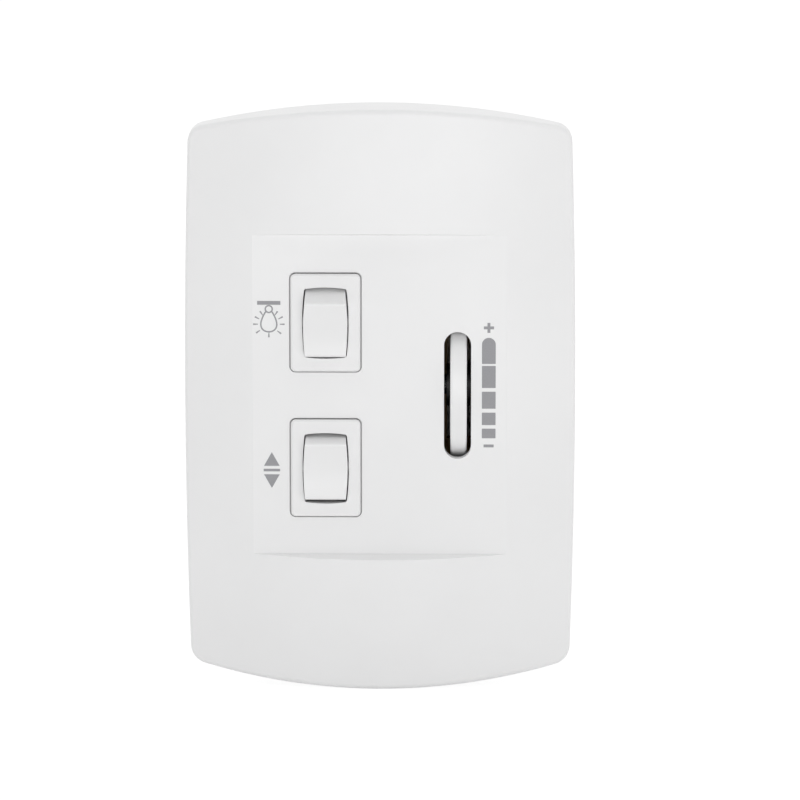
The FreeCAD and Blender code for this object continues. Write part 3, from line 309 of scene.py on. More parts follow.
class StudioGraph(NodeGraph):
    """Node tree of something in the studio that looks otherwise than it lights."""

    def show(self, lighting: Any, look: Any, share: float) -> None:
        """Light with one shader, and mix in another for camera, glossy and transmission rays.

        Args:
            lighting: Output of the shader that lights the object.
            look: Output of the shader that those rays see.
            share: Share of the look in what they see.
        """
        path = self.add("ShaderNodeLightPath")
        seen = path.outputs["Is Camera Ray"]
        for name in ("Is Glossy Ray", "Is Transmission Ray"):
            either = self.add("ShaderNodeMath")
            either.operation = "MAXIMUM"
            self.join(seen, either.inputs[0])
            self.join(path.outputs[name], either.inputs[1])
            seen = either.outputs["Value"]
        part = self.add("ShaderNodeMath")
        part.operation = "MULTIPLY"
        part.inputs[1].default_value = share
        self.join(seen, part.inputs[0])
        mix = self.add("ShaderNodeMixShader")
        self.join(part.outputs["Value"], mix.inputs["Fac"])
        self.join(lighting, mix.inputs[1])
        self.join(look, mix.inputs[2])
        self.join(mix.outputs["Shader"], self.target)


@dataclass(frozen=True)
class Moulding:
    """Moulded plastic with faint flow clouds, the texture of its tool and, with a reach, painted shade in
    gaps. In metres, grains per metre.
    """

    name: str
    colour: Colour
    roughness: float
    mould: Mould
    clouds: float = 0.012
    # Painted shade in sheltered places: reach in metres, none if 0, share of colour left at each openness,
    # whether only the piece shelters itself
    gap_reach: float = 0.0
    gap_shade: Stops = GAP_SHADE
    gap_alone: bool = False
    flow_grain: float = 45.0
    gloss_grain: float = 220.0
    gloss_shares: Pair = (0.9, 1.1)
    refraction: float = 1.5

    def graph(self) -> FinishGraph:
        """Build the node graph.

        Returns:
            A principled plastic whose colour, gloss and grain come from noise.
        """
        graph = FinishGraph(self.name)
        grain, depth = self.mould.value
        graph.tint(graph.noise(self.flow_grain, detail=3.0), self.colour, self.clouds)
        # Painted shade in the piece's gaps and corners
        if self.gap_reach > 0.0:
            graph.shade_gaps(self.gap_reach, self.gap_shade, self.gap_alone)
        low, high = self.gloss_shares
        graph.polish(graph.noise(self.gloss_grain), (low * self.roughness, high * self.roughness))
        graph.relief(graph.noise(grain), depth)
        graph.surface.inputs["IOR"].default_value = self.refraction
        return graph

    def material(self) -> bpy.types.Material:
        """Build the material."""
        return self.graph().material


@dataclass(frozen=True)
class WheelMoulding(Moulding):
    """Moulded wheel on an axis along x, with painted shade round its hub. Lengths in metres."""

    axis: Triple = (0.0, 0.0, 0.0)
    # Radii between which the painted shade round the hub fades out
    hub_shade_radii: Pair = (0.0095, 0.0115)

    def graph(self) -> FinishGraph:
        """Build the node graph.

        Returns:
            The plain moulding, darkened towards the axis with painted shade.
        """
        graph = super().graph()
        # Painted shade round the hub, between the two radii
        graph.shade_hub(self.axis, self.hub_shade_radii)
        return graph


@dataclass(frozen=True)
class Metal:
    """Bare or plated metal, drawn or brushed along one direction. In metres, grains per metre."""

    name: str
    colour: Colour
    roughness: float
    stretch: Triple = (1.0, 1.0, 0.06)
    # Reach in metres of painted shade in sheltered places, none if 0
    gap_reach: float = 0.0
    grain: float = 2400.0
    spread: float = 0.07
    gloss_shares: Pair = (0.8, 1.3)
    depth: float = 0.000004

    def material(self) -> bpy.types.Material:
        """Build the material.

        Returns:
            A metallic surface with streaks in colour, gloss and relief.
        """
        graph = FinishGraph(self.name)
        streaks = graph.noise(self.grain, detail=3.0, stretch=self.stretch)
        graph.tint(streaks, self.colour, self.spread)
        # Painted shade where the metal is sheltered, which also dims its reflections
        if self.gap_reach > 0.0:
            graph.shade_gaps(self.gap_reach, WELL_SHADE)
        low, high = self.gloss_shares
        graph.polish(streaks, (low * self.roughness, high * self.roughness))
        graph.relief(streaks, self.depth)
        graph.surface.inputs["Metallic"].default_value = 1.0
        return graph.material


@dataclass(frozen=True)
class Laminate:
    """Phenolic paper board with long fibres and small flecks. In metres, grains per metre."""

    name: str
    colour: Colour
    fibre_grain: float = 1500.0
    stretch: Triple = (1.0, 1.0, 0.12)
    spread: float = 0.16
    fleck_grain: float = 600.0
    roughness: Pair = (0.42, 0.58)
    depth: float = 0.000012

    def material(self) -> bpy.types.Material:
        """Build the material.

        Returns:
            A brown board whose fibres run up it.
        """
        graph = FinishGraph(self.name)
        fibres = graph.noise(self.fibre_grain, detail=4.0, stretch=self.stretch)
        graph.tint(fibres, self.colour, self.spread)
        graph.polish(graph.noise(self.fleck_grain), self.roughness)
        graph.relief(fibres, self.depth)
        return graph.material


@dataclass(frozen=True)
class PrintInk:
    """Pad-printed ink, slightly uneven in cover. In metres, grains per metre."""

    name: str
    colour: Colour
    grain: float = 5200.0
    spread: float = 0.05
    roughness: Pair = (0.45, 0.6)
    depth: float = 0.000003

    def material(self) -> bpy.types.Material:
        """Build the material.

        Returns:
            A matt ink with pinhole mottling.
        """
        graph = FinishGraph(self.name)
        cover = graph.noise(self.grain)
        graph.tint(cover, self.colour, self.spread)
        graph.polish(cover, self.roughness)
        graph.relief(cover, self.depth)
        return graph.material


Finish = Moulding | Metal | Laminate | PrintInk


def surface_mesh(name: str, grids: list[np.ndarray], looped: bool = False) -> bpy.types.Mesh:
    """Make one mesh from grids of points.

    Each grid is rows by columns by three. Its columns close on themselves, and so do its rows
    where it is looped; otherwise a first or last row of one repeated point closes that end.

    Args:
        name: Name of the mesh.
        grids: Point grids in metres.
        looped: Whether the rows close on themselves.

    Returns:
        The mesh, with doubles merged and faces turned outwards.
    """
    mesh = bpy.data.meshes.new(name)
    corners, faces, start = [], [], 0
    for grid in grids:
        rows, columns = grid.shape[:2]
        index = start + np.arange(rows * columns).reshape(rows, columns)
        if looped:
            index = np.vstack([index, index[:1]])
        index = np.hstack([index, index[:, :1]])
        quads = np.stack([index[:-1, :-1], index[:-1, 1:], index[1:, 1:], index[1:, :-1]], axis=-1)
        corners.append(grid.reshape(-1, 3))
        faces.append(quads.reshape(-1, 4))
        start += rows * columns
    mesh.from_pydata(np.concatenate(corners), [], np.concatenate(faces))
    work = bmesh.new()
    work.from_mesh(mesh)
    bmesh.ops.remove_doubles(work, verts=work.verts, dist=WELD)
    bmesh.ops.dissolve_degenerate(work, edges=work.edges, dist=WELD)
    bmesh.ops.recalc_face_normals(work, faces=work.faces)
    work.to_mesh(mesh)
    work.free()
    return mesh


def ribbon(
    path: np.ndarray, half_width: np.ndarray, base: float, top: float, looped: bool = False
) -> np.ndarray:
    """Carry a flat rectangle along a path on the panel.

    The tangent is the central difference of the path and the normal its quarter turn; the four
    corners are path plus or minus half_width times the normal, at depth base and at depth top.

    Args:
        path: Points x, z in metres, one row each.
        half_width: Half the ribbon's width at each point.
        base: Depth y of the underside.
        top: Depth y of the face.
        looped: Whether the path closes on itself.

    Returns:
        A grid of rows along the path by four corners, with point ends where it is open.
    """
    if looped:
        run = np.roll(path, -1, axis=0) - np.roll(path, 1, axis=0)
    else:
        run = np.gradient(path, axis=0)
    run = run / np.linalg.norm(run, axis=1, keepdims=True)
    side = np.stack([-run[:, 1], run[:, 0]], axis=1) * half_width[:, None]
    sign = np.array([1.0, 1.0, -1.0, -1.0])
    depth = np.array([base, top, top, base])
    flat = path[:, None, :] + sign[None, :, None] * side[:, None, :]
    grid = np.stack([flat[..., 0], np.broadcast_to(depth, flat.shape[:2]), flat[..., 1]], axis=-1)
    if looped:
        return grid
    ends = grid.mean(axis=1, keepdims=True).repeat(4, axis=1)
    return np.concatenate([ends[:1], grid, ends[-1:]])


def line(start: Pair, end: Pair) -> np.ndarray:
    """Give the two ends of a line as rows."""
    return np.array([start, end])


def joined(name: str, open_parts: list[np.ndarray], closed_parts: list[np.ndarray]) -> bpy.types.Mesh:
    """Make one mesh of open and closed ribbons.

    Args:
        name: Name of the mesh.
        open_parts: Grids with two ends.
        closed_parts: Grids that run round on themselves.

    Returns:
        The joined mesh.
    """
    mesh = surface_mesh(name, open_parts)
    if closed_parts:
        loops = surface_mesh(name + "_loops", closed_parts, looped=True)
        work = bmesh.new()
        work.from_mesh(mesh)
        work.from_mesh(loops)
        work.to_mesh(mesh)
        work.free()
        bpy.data.meshes.remove(loops)
    return mesh


class SubAssembly:
    """Base of the sub-assemblies: dresses solids of the frame and adds pieces to it."""

    def dress(self, nodes: Nodes, finish: Finish, *names: str) -> None:
        """Give solids of the frame a finish.

        Args:
            nodes: Solids of the frame by name.
            finish: Finish whose material they get.
            names: The solids to dress.
        """
        material = finish.material()
        for name in names:
            nodes[name].data.materials.clear()
            nodes[name].data.materials.append(material)
            LOG.info("dressed %s as %s", name, finish.name)

    def add_piece(self, mesh: bpy.types.Mesh, finish: Finish, body: str, slot: str) -> bpy.types.Object:
        """Add a new piece that rides on a body.

        Args:
            mesh: Mesh in place, in metres.
            finish: Finish whose material it gets.
            body: Body that it moves with.
            slot: Material slot of the record that it belongs to; not used.

        Returns:
            The new object.
        """
        piece = bpy.data.objects.new(mesh.name, mesh)
        bpy.context.scene.collection.objects.link(piece)
        mesh.materials.append(finish.material())
        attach(piece, body)
        LOG.info("added %s with %d faces", piece.name, len(mesh.polygons))
        return piece


@dataclass
class FrontPlate(SubAssembly):
    """Crowned plate and the marks printed on its panel. Sizes in millimetres."""

    panel_level: float = 7.7
    ink: float = 0.02
    sink: float = 0.01
    # Painted shade in the plate's own corners and creases, round the panel and the bezels' seats
    plate: Moulding = Moulding(
        "plate_white", WHITE, 0.34, Mould.POLISHED, gap_reach=0.0007, gap_shade=CORNER_SHADE, gap_alone=True
    )
    print_ink: PrintInk = PrintInk("mark_grey", (0.31, 0.31, 0.325))
    slot: str = "block_grey"
    lamp_at: Pair = (-22.9, 15.0)
    lamp_bar: Pair = (4.8, 0.8)
    lamp_bar_rise: float = 4.45
    lamp_stroke: float = 0.3
    socket_rise: float = 3.15
    socket_radius: float = 0.72
    bulb_size: Pair = (1.52, 2.4)
    bulb_rise: float = 0.75
    bulb_taper: float = 0.45
    bulb_mouth: float = 0.69
    ray_angles: tuple[float, ...] = (-39.0, -1.0, 28.0, 56.0, 124.0, 152.0, 181.0, 216.0)
    ray_reach: Pair = (2.25, 3.25)
    foot_ray: Pair = (1.85, 2.8)
    ray_width: float = 0.34
    ray_taper: float = 0.5
    arrows_at: Pair = (-22.4, -15.9)
    arrow_size: Pair = (3.25, 2.85)
    arrow_tip: float = 0.02
    arrow_gap: float = 0.9
    arrow_bar: Pair = (3.4, 0.55)
    speed_at: float = 22.55
    plus_rise: float = 14.3
    minus_rise: float = -10.65
    sign_size: Pair = (2.1, 0.6)
    bar_width: float = 2.84
    bar_heights: tuple[float, ...] = (5.5, 4.66, 3.58, 2.63, 2.03)
    bar_gaps: tuple[float, ...] = (0.42, 0.8, 0.84, 0.76, 0.0)
    bar_top: float = 12.2
    round_start: float = 0.1
    round_steps: int = 14

    def stroke(self, path: np.ndarray, width: np.ndarray | float, looped: bool = False) -> np.ndarray:
        """Lay a ribbon of ink on the panel.

        Args:
            path: Points x, z in millimetres.
            width: Width of the ink, at each point or all along.
            looped: Whether the path closes on itself.

        Returns:
            The ribbon's grid in metres.
        """
        half = np.broadcast_to(np.asarray(width, float) / 2, len(path))
        base = (self.sink - self.panel_level) * MM
        return ribbon(path * MM, half * MM, base, base - (self.sink + self.ink) * MM, looped)

    def lamp(self) -> bpy.types.Mesh:
        """Draw a hanging lamp: ceiling bar, socket ring, pear-shaped bulb and rays.

        The bulb's outline is x = a sin t (1 - k cos t), z = b cos t, open at its mouth round t = 0; each ray
        runs out from the bulb's middle at its angle, the last one straight down.

        Returns:
            The mesh of the rays, bar, socket and bulb.
        """
        middle = np.array(self.lamp_at)
        length, height = self.lamp_bar
        rise = self.lamp_bar_rise
        bar = middle + line((-length / 2, rise), (length / 2, rise))
        turn = np.linspace(0.0, FULL_TURN, CURVE_STEPS, endpoint=False)
        circle = np.stack([np.sin(turn), np.cos(turn)], axis=1)
        ring = middle + [0.0, self.socket_rise] + self.socket_radius * circle
        across, up = self.bulb_size
        turn = np.linspace(self.bulb_mouth, FULL_TURN - self.bulb_mouth, CURVE_STEPS)
        swell = across * np.sin(turn) * (1 - self.bulb_taper * np.cos(turn))
        bulb = middle + [0.0, self.bulb_rise] + np.stack([swell, up * np.cos(turn)], axis=1)
        angles = np.radians(self.ray_angles)
        aims = np.stack([np.cos(angles), np.sin(angles)], axis=1)
        near, far = self.ray_reach
        rays = [line(tuple(near * aim), tuple(far * aim)) for aim in aims]
        rays.append(-line((0.0, self.foot_ray[0]), (0.0, self.foot_ray[1])))
        taper = np.array([self.ray_taper, 1.0]) * self.ray_width
        open_parts = [self.stroke(bar, height), self.stroke(bulb, self.lamp_stroke)]
        open_parts += [self.stroke(middle + ray, taper) for ray in rays]
        return joined("light_mark", open_parts, [self.stroke(ring, self.lamp_stroke, True)])

    def arrows(self) -> bpy.types.Mesh:
        """Draw an arrowhead up, a bar and an arrowhead down; a head's width grows evenly from its tip.

        Returns:
            The mesh of the three shapes.
        """
        middle = np.array(self.arrows_at)
        width, height = self.arrow_size
        grow = np.array([self.arrow_tip, 1.0]) * width
        parts = []
        for up in (1.0, -1.0):
            head = line((0.0, up * (self.arrow_gap + height)), (0.0, up * self.arrow_gap))
            parts.append(self.stroke(middle + head, grow))
        length, thickness = self.arrow_bar
        parts.append(self.stroke(middle + line((-length / 2, 0.0), (length / 2, 0.0)), thickness))
        return joined("direction_mark", parts, [])

    def scale(self) -> bpy.types.Mesh:
        """Draw a plus, bars that get shorter downwards, the first with a round top, and a minus.

        The round top's half width at depth d below it is sqrt(r^2 - (r - d)^2).

        Returns:
            The mesh of the signs and bars.
        """
        length, thickness = self.sign_size
        parts = []
        for rise in (self.plus_rise, self.minus_rise):
            sign = np.array([self.speed_at, rise])
            parts.append(self.stroke(sign + line((-length / 2, 0.0), (length / 2, 0.0)), thickness))
        for up in (-1.0, 1.0):
            stub = line((0.0, up * thickness / 2), (0.0, up * length / 2))
            parts.append(self.stroke(np.array([self.speed_at, self.plus_rise]) + stub, thickness))
        top = self.bar_top
        radius = self.bar_width / 2
        for order, (height, gap) in enumerate(zip(self.bar_heights, self.bar_gaps)):
            drop = np.array([0.0, height])
            width = np.full(2, self.bar_width)
            if order == 0:
                bend = np.linspace(self.round_start, np.pi / 2, self.round_steps)
                drop = np.concatenate([radius * (1 - np.cos(bend)), [height]])
                width = 2 * np.sqrt(radius**2 - np.maximum(radius - drop, 0.0) ** 2)
            bar = np.stack([np.full(len(drop), self.speed_at), top - drop], axis=1)
            parts.append(self.stroke(bar, width))
            top -= height + gap
        return joined("speed_mark", parts, [])

    def build(self, nodes: Nodes) -> None:
        """Dress the plate and print its marks.

        Args:
            nodes: Solids of the frame by name.
        """
        self.dress(nodes, self.plate, "front_plate")
        for mesh in (self.lamp(), self.arrows(), self.scale()):
            self.add_piece(mesh, self.print_ink, "case", self.slot)


@dataclass(frozen=True)
class CoilSpring:
    """Coil spring between a foot and a head on one axis. In millimetres."""

    wire: float = 0.35
    diameter: float = 2.0
    turns: float = 5.0
    rows: int = 150
    columns: int = 12

    def grid(self, foot: np.ndarray, way: np.ndarray, length: float) -> np.ndarray:
        """Carry a round wire along a helix.

        The helix is foot + s way + R (cos t across + sin t up), with s growing evenly with t. The wire's
        ring at each t lies along the helix's radius and along the tangent's cross product with it.

        Args:
            foot: Point of the axis where the spring starts.
            way: Unit vector along the axis.
            length: Length from foot to head.

        Returns:
            A grid of rows along the wire by columns round it, with point ends.
        """
        turn = np.linspace(0.0, FULL_TURN * self.turns, self.rows)[:, None]
        across = np.array([1.0, 0.0, 0.0])
        up = np.cross(way, across)
        radius = np.cos(turn) * across + np.sin(turn) * up
        climb = (length - self.wire) / turn[-1]
        path = foot + (self.wire / 2 + climb * turn) * way + self.diameter / 2 * radius
        tangent = self.diameter / 2 * (np.cos(turn) * up - np.sin(turn) * across) + climb * way
        side = np.cross(tangent, radius)
        side = side / np.linalg.norm(side, axis=1, keepdims=True)
        ring = np.linspace(0.0, FULL_TURN, self.columns, endpoint=False)[None, :, None]
        section = np.cos(ring) * radius[:, None] + np.sin(ring) * side[:, None]
        ends = path[[0, -1], None].repeat(self.columns, axis=1)
        return np.concatenate([ends[:1], path[:, None] + self.wire / 2 * section, ends[1:]])


@dataclass
class RockerSwitches(SubAssembly):
    """The light switch and the direction switch. Sizes in millimetres."""

    joints: list[dict[str, Any]]
    # Painted shade in the switch housings' gaps, round the rockers and in the bezels' grooves
    housing: Moulding = Moulding("housing_white", WHITE, 0.38, Mould.SATIN, gap_reach=0.0012)
    key: Moulding = Moulding("key_white", (0.85, 0.85, 0.852), 0.36, Mould.POLISHED)
    contact: Metal = Metal("contact_brass", BRASS, 0.3)
    spring: Metal = Metal("spring_steel", (0.6, 0.6, 0.61), 0.28)
    coil: CoilSpring = CoilSpring()
    coil_reach: Pair = (-2.35, 1.35)

    def wind(self, name: str) -> None:
        """Put a spring between a plunger and the top of its bore, riding on the rocker.

        Args:
            name: Switch that it belongs to.
        """
        joints = {joint["name"]: joint for joint in self.joints}
        slide = joints[name + "_plunger_slide"]
        pivot = np.array(joints[name + "_rock"]["pos_m"]) / MM
        way = np.array(slide["axis"])
        foot, head = (pivot + reach * way for reach in self.coil_reach)
        length = self.coil_reach[1] - self.coil_reach[0]
        mesh = surface_mesh(name + "_coil", [self.coil.grid(foot, way, length) * MM])
        piece = self.add_piece(mesh, self.spring, name + "_rocker", "steel")
        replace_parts(piece, name + "_plunger_spring")
        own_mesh(piece)

    def build(self, nodes: Nodes) -> None:
        """Dress the housings, rockers and contacts and wind the springs.

        Args:
            nodes: Solids of the frame by name.
        """
        terminals = [name for name in nodes if name.endswith("_terminal")]
        finishes = {
            "_switch_housing": self.housing,
            "_rocker": self.key,
            "_plunger": self.contact,
            "_contact_lever": self.contact,
        }
        for ending, finish in finishes.items():
            self.dress(nodes, finish, "light" + ending, "direction" + ending)
        self.dress(nodes, self.contact, *terminals)
        for name in ("light", "direction"):
            self.wind(name)


@dataclass
class SpeedControl(SubAssembly):
    """Thumbwheel and the potentiometer that it turns."""

    wheel: WheelMoulding = WheelMoulding("wheel_white", (0.84, 0.84, 0.842), 0.36, Mould.SATIN, 0.03)
    # Painted shade on the potentiometer's body and shaft, dark in the well below the wheel's slot
    body: Moulding = Moulding(
        "moulded_black", (0.035, 0.035, 0.038), 0.6, Mould.SPARK, 0.08,
        gap_reach=WELL_REACH, gap_shade=WELL_SHADE
    )
    shaft: Metal = Metal("shaft_aluminium", ALUMINIUM, 0.45, (0.06, 1.0, 1.0), WELL_REACH)
    sheet: Metal = Metal("plated_sheet", (0.62, 0.62, 0.6), 0.3)

    def build(self, nodes: Nodes) -> None:
        """Dress the wheel and the potentiometer.

        Args:
            nodes: Solids of the frame by name.
        """
        low, high = (np.array(corner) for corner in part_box("speed_wheel"))
        # The wheel's painted hub shade is centred on its axis
        self.dress(nodes, replace(self.wheel, axis=tuple((low + high) / 2)), "speed_wheel")
        self.dress(nodes, self.body, "pot_body")
        self.dress(nodes, self.shaft, "pot_shaft")
        self.dress(nodes, self.sheet, "pot_cover", "pot_pins")


@dataclass
class Screw:
    """Screw with its head towards +y: domed head, driver recess and threaded shank. In millimetres."""

    head_diameter: float
    head_height: float
    shank_diameter: float
    length: float
    recess: Recess
    recess_width: float = 0.7
    recess_reach: float = 0.34
    recess_depth: float = 0.7
    recess_blend: float = 0.2
    dome: float = 0.18
    face_share: float = 0.96
    rim_foot: float = 0.06
    seat_share: float = 0.98
    pitch: float = 0.8
    thread_depth: float = 0.16
    thread_start: float = 0.05
    face_rows: int = 30
    shank_rows: int = 64
    columns: int = 72

    def recess_share(self, x: np.ndarray, z: np.ndarray) -> np.ndarray:
        """Give how deep the recess is at points of the head, from 0 outside to 1 at its floor.

        A slot is the strip where |x| is under half its width. A cross is two such strips that end at the
        reach. Both have steep sides: the share rises evenly over a fifth of the width.

        Args:
            x: Place across the head.
            z: Place up the head.

        Returns:
            The share of the full depth at each point.
        """
        soft = self.recess_blend * self.recess_width
        half = self.recess_width / 2
        if self.recess is Recess.SLOT:
            inside = half - np.abs(x)
        else:
            reach = self.recess_reach * self.head_diameter
            upright = np.minimum(half - np.abs(x), reach - np.abs(z))
            level = np.minimum(half - np.abs(z), reach - np.abs(x))
            inside = np.maximum(upright, level)
        return np.clip(inside / soft + 0.5, 0.0, 1.0)

    def grid(self, x: float, seat: float, z: float) -> np.ndarray:
        """Turn the screw's profile about its axis.

        The head's face is y = height - dome (r / R)^2, less the recess; the rim and seat follow, then the
        shank, whose radius falls and rises with the fraction of y / pitch - turn / 2 pi, a helical thread.

        Args:
            x: Place of the axis across.
            seat: Depth of the underside of the head.
            z: Place of the axis up.

        Returns:
            A grid of rows along the profile by columns round the axis, in millimetres.
        """
        turn = np.linspace(0.0, FULL_TURN, self.columns, endpoint=False)
        rim = self.head_diameter / 2
        face = np.linspace(0.0, self.face_share * rim, self.face_rows)[:, None] * np.ones_like(turn)
        dome = self.head_height - self.dome * (face / rim) ** 2
        share = self.recess_share(face * np.sin(turn), face * np.cos(turn))
        face_rise = dome - self.recess_depth * self.head_height * share
        brow = [rim, self.head_height - 2 * self.dome]
        seat_edge = [self.seat_share * rim, 0.0]
        collar = np.array([brow, [rim, self.rim_foot], seat_edge, [self.shank_diameter / 2, 0.0]])
        collar_radius = collar[:, :1] * np.ones_like(turn)
        collar_rise = collar[:, 1:] * np.ones_like(turn)
        along = np.linspace(self.thread_start, self.length, self.shank_rows)[:, None]
        phase = np.mod(along / self.pitch - turn / FULL_TURN, 1.0)
        point = np.clip((self.length - along) / self.shank_diameter, 0.0, 1.0)
        shank = (self.shank_diameter / 2 - self.thread_depth * np.abs(2 * phase - 1)) * point
        radius = np.concatenate([face, collar_radius, shank])
        rise = np.concatenate([face_rise, collar_rise, -along * np.ones_like(turn)])
        return np.stack([x + radius * np.sin(turn), seat + rise, z + radius * np.cos(turn)], axis=-1)


@dataclass
class RearHousing(SubAssembly):
    """Mounting frame, rear cover and the four screws that hold the cover. Sizes in millimetres."""

    frame: Moulding = Moulding("frame_white", (0.80, 0.80, 0.79), 0.42, Mould.SATIN, 0.02)
    cover: Moulding = Moulding("cover_white", (0.78, 0.78, 0.765), 0.5, Mould.SPARK, 0.025)
    plating: Metal = Metal("zinc_plating", ZINC, 0.3, (1.0, 0.1, 1.0))
    head_diameter: float = 4.4
    head_height: float = 1.2
    shank_diameter: float = 2.2

    def screws(self) -> bpy.types.Mesh:
        """Put a cross-recessed screw in each corner of the cover, where its solid is.

        Returns:
            The mesh of the four screws.
        """
        low, high = (np.array(corner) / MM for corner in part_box("cover_screws"))
        seat = high[1] - self.head_height
        screw = Screw(self.head_diameter, self.head_height, self.shank_diameter, seat - low[1], Recess.CROSS)
        inset = self.head_diameter / 2
        across = (low[0] + inset, high[0] - inset)
        up = (low[2] + inset, high[2] - inset)
        grids = [screw.grid(x, seat, z) * MM for x in across for z in up]
        return surface_mesh("cover_screw_set", grids)

    def build(self, nodes: Nodes) -> None:
        """Dress the frame and cover and put in the screws.

        Args:
            nodes: Solids of the frame by name.
        """
        self.dress(nodes, self.frame, "mounting_frame")
        self.dress(nodes, self.cover, "rear_cover")
        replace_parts(self.add_piece(self.screws(), self.plating, "case", "steel"), "cover_screws")


@dataclass
class SpeedCircuit(SubAssembly):
    """Circuit board and the parts on it. Sizes in millimetres."""

    board: Laminate = Laminate("board_brown", (0.36, 0.21, 0.09))
    epoxy: Moulding = Moulding("epoxy_black", (0.03, 0.03, 0.033), 0.4, Mould.SPARK, 0.08)
    film: Moulding = Moulding("capacitor_yellow", (0.62, 0.42, 0.06), 0.3, Mould.SATIN, 0.04)
    lacquer: Moulding = Moulding("resistor_tan", (0.55, 0.40, 0.23), 0.3, Mould.SATIN, 0.06)
    ceramic: Moulding = Moulding("fuse_ceramic", (0.72, 0.70, 0.64), 0.35, Mould.SPARK, 0.04)
    ferrite: Moulding = Moulding("ferrite", (0.07, 0.07, 0.075), 0.55, Mould.SPARK, 0.12)
    copper: Metal = Metal("enamelled_copper", (0.62, 0.26, 0.10), 0.25, (1.0, 12.0, 1.0))
    aluminium: Metal = Metal("sink_aluminium", ALUMINIUM, 0.35)
    plating: Metal = Metal("fastener_plating", ZINC, 0.3)
    waist: float = 6.0
    turns: int = 12
    rows_per_turn: int = 8
    columns: int = 72

    def winding(self) -> bpy.types.Mesh:
        """Wind the choke: a turned ring whose outer radius ripples once for each turn of wire.

        The outer radius is R - w / 2 (1 - |sin(pi n t)|), with n turns up it and w the wire's width.

        Returns:
            The mesh of the winding.
        """
        low, high = (np.array(corner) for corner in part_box("choke_winding"))
        middle = (low + high) / 2
        outer = (high[0] - low[0]) / 2
        wire = (high[1] - low[1]) / self.turns
        share = np.linspace(0.0, 1.0, self.rows_per_turn * self.turns + 1)
        ripple = outer - wire / 2 * (1 - np.abs(np.sin(np.pi * self.turns * share)))
        waist = self.waist / 2 * MM
        radius = np.concatenate([[waist], ripple, [waist]])[:, None]
        depth = np.concatenate([[0.0], share, [1.0]])[:, None] * (high[1] - low[1]) + low[1]
        turn = np.linspace(0.0, FULL_TURN, self.columns, endpoint=False)
        x = middle[0] + radius * np.sin(turn)
        z = middle[2] + radius * np.cos(turn)
        grid = np.stack([x, depth * np.ones_like(turn), z], axis=-1)
        return surface_mesh("choke_wire", [grid], looped=True)

    def build(self, nodes: Nodes) -> None:
        """Dress the board and its parts and wind the choke.

        Args:
            nodes: Solids of the frame by name.
        """
        self.dress(nodes, self.board, "circuit_board")
        self.dress(nodes, self.epoxy, "triac", "diac")
        self.dress(nodes, self.film, "film_capacitor", "timing_capacitor")
        self.dress(nodes, self.lacquer, "resistors")
        self.dress(nodes, self.ceramic, "fuse")
        self.dress(nodes, self.ferrite, "choke_core")
        self.dress(nodes, self.aluminium, "heat_sink")
        self.dress(nodes, self.plating, "triac_screw", "triac_nut")
        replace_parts(self.add_piece(self.winding(), self.copper, "case", "copper"), "choke_winding")


@dataclass
class WireTerminals(SubAssembly):
    """Block of screw terminals for the wall wires. Sizes in millimetres."""

    block: Moulding = Moulding("block_grey", (0.42, 0.44, 0.45), 0.45, Mould.SPARK, 0.04)
    brass: Metal = Metal("cage_brass", BRASS, 0.3)
    plating: Metal = Metal("terminal_plating", ZINC, 0.3, (1.0, 0.1, 1.0))
    poles: int = 5
    head_diameter: float = 3.3
    head_height: float = 1.6
    shank_diameter: float = 2.4
    slot_width: float = 0.6
    slot_depth: float = 0.45
    dome: float = 0.1

    def screws(self) -> bpy.types.Mesh:
        """Put a slotted screw in each terminal, where its solid is.

        Returns:
            The mesh of the screws.
        """
        low, high = (np.array(corner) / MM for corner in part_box("terminal_screws"))
        seat = high[1] - self.head_height
        screw = Screw(
            self.head_diameter, self.head_height, self.shank_diameter, seat - low[1], Recess.SLOT,
            recess_width=self.slot_width, recess_depth=self.slot_depth, dome=self.dome,
        )
        inset = self.head_diameter / 2
        places = np.linspace(low[0] + inset, high[0] - inset, self.poles)
        level = (low[2] + high[2]) / 2
        return surface_mesh("terminal_screw_set", [screw.grid(x, seat, level) * MM for x in places])

    def build(self, nodes: Nodes) -> None:
        """Dress the block and cages and put in the screws.

        Args:
            nodes: Solids of the frame by name.
        """
        self.dress(nodes, self.block, "terminal_block")
        self.dress(nodes, self.brass, "terminal_cages")
        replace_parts(self.add_piece(self.screws(), self.plating, "case", "steel"), "terminal_screws")


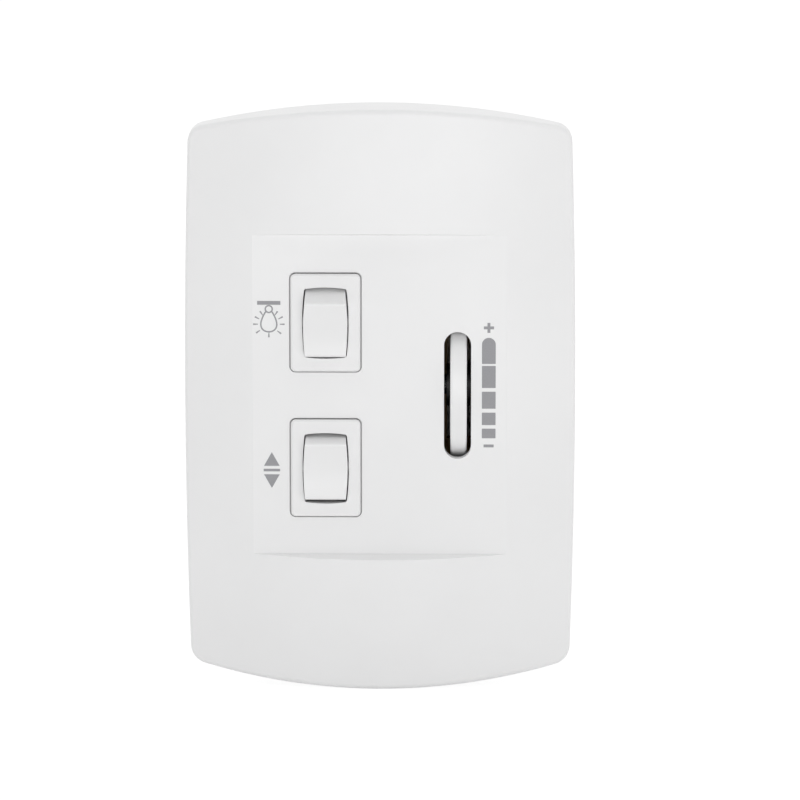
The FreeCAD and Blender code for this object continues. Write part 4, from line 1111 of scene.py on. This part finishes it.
@dataclass
class Studio:
    """Pale floor, white surround, soft lamp and the camera. Lengths in metres, angles in degrees."""

    floor_radius: float = 4.0
    floor_rings: Triple = (0.0, 0.3, 1.0)
    floor_columns: int = 64
    floor_colour: Colour = (0.9, 0.9, 0.9)
    floor_white: float = 0.85
    floor_glow: float = 1.1
    surround: Pair = (0.29, 1.05)
    backdrop_way: Triple = (0.0, 0.7, 0.7)
    backdrop_rise: Pair = (-0.25, 0.45)
    key_at: Triple = (0.06, -0.5, 0.05)
    key_side: float = 0.36
    key_power: float = 0.89
    azimuth: float = 0.73
    elevation: float = 12.0
    distance: float = 1.32
    pixels_per_metre: float = 4805.0
    aim: Triple = (0.0041, -0.0005, -0.0025)
    sensor: float = 36.0

    def light_surround(self) -> None:
        """Make the world white to look at, and to light with a grey room before a white backdrop.

        The light grows evenly with the share of a direction along the backdrop's way, behind and above.
        """
        world = bpy.data.worlds.new("surround")
        bpy.context.scene.world = world
        graph = StudioGraph(world, "ShaderNodeOutputWorld")
        along = graph.add("ShaderNodeVectorMath")
        along.operation = "DOT_PRODUCT"
        along.inputs[1].default_value = self.backdrop_way
        graph.join(graph.add("ShaderNodeTexCoord").outputs["Generated"], along.inputs[0])
        room, white = (graph.add("ShaderNodeBackground") for _ in range(2))
        for light in (room, white):
            light.inputs["Color"].default_value = (1.0, 1.0, 1.0, 1.0)
            light.inputs["Strength"].default_value = 1.0
        strength = graph.map_range(along.outputs["Value"], self.backdrop_rise, self.surround)
        graph.join(strength, room.inputs["Strength"])
        graph.show(room.outputs["Background"], white.outputs["Background"], 1.0)

    def lay_floor(self, level: float) -> None:
        """Lay a round pale floor that looks white but keeps the shadow.

        Its points are radius times sine and cosine of the turn, on rings from the middle out.

        Args:
            level: Height of the floor.
        """
        turn = np.linspace(0.0, FULL_TURN, self.floor_columns, endpoint=False)
        ring = np.array(self.floor_rings)[:, None] * self.floor_radius
        height = np.full_like(ring * turn, level)
        mesh = surface_mesh("floor", [np.stack([ring * np.sin(turn), ring * np.cos(turn), height], axis=-1)])
        if mesh.polygons[0].normal.z < 0:
            mesh.flip_normals()
        floor = bpy.data.objects.new("floor", mesh)
        bpy.context.scene.collection.objects.link(floor)
        floor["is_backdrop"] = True
        material = bpy.data.materials.new("floor_white")
        graph = StudioGraph(material, "ShaderNodeOutputMaterial")
        matt = graph.add("ShaderNodeBsdfDiffuse")
        matt.inputs["Color"].default_value = (*self.floor_colour, 1.0)
        white = graph.add("ShaderNodeEmission")
        white.inputs["Strength"].default_value = self.floor_glow
        graph.show(matt.outputs["BSDF"], white.outputs["Emission"], self.floor_white)
        mesh.materials.append(material)

    def hang_key(self) -> None:
        """Hang a soft square lamp in front, turned to the plate."""
        lamp = bpy.data.lights.new("key", "AREA")
        lamp.shape = "SQUARE"
        lamp.size = self.key_side
        lamp.energy = self.key_power
        key = bpy.data.objects.new("key", lamp)
        key.location = self.key_at
        key.rotation_euler = (-Vector(self.key_at)).to_track_quat("-Z", "Y").to_euler()
        bpy.context.scene.collection.objects.link(key)

    def set_camera(self) -> None:
        """Stand the camera at the viewing angle, with a long lens that fills the frame."""
        turn, rise = np.radians((self.azimuth, self.elevation))
        back = Vector((np.sin(turn) * np.cos(rise), -np.cos(turn) * np.cos(rise), np.sin(rise)))
        camera = bpy.data.cameras.new("camera")
        camera.sensor_width = self.sensor
        camera.lens = self.pixels_per_metre * self.distance * self.sensor / IMAGE_SIDE
        view = bpy.data.objects.new("camera", camera)
        view.location = Vector(self.aim) + self.distance * back
        view.rotation_euler = (-back).to_track_quat("-Z", "Y").to_euler()
        bpy.context.scene.collection.objects.link(view)
        bpy.context.scene.camera = view

    def build(self, low: Vector) -> None:
        """Set up floor, lights and camera.

        Args:
            low: Lowest corner of the object.
        """
        bpy.context.scene.view_settings.view_transform = "Standard"
        self.light_surround()
        self.lay_floor(low.z)
        self.hang_key()
        self.set_camera()


def main() -> None:
    """Dress the frame, add the pieces and set up the studio."""
    logging.basicConfig(level=logging.INFO, format="%(message)s")
    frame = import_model()
    solid_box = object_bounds()
    front = (FrontPlate(), RockerSwitches(frame["joints"]), SpeedControl())
    back = (RearHousing(), SpeedCircuit(), WireTerminals())
    for part in front + back:
        part.build(frame["nodes"])
    Studio().build(solid_box[0])


if __name__ == "__main__":
    main()
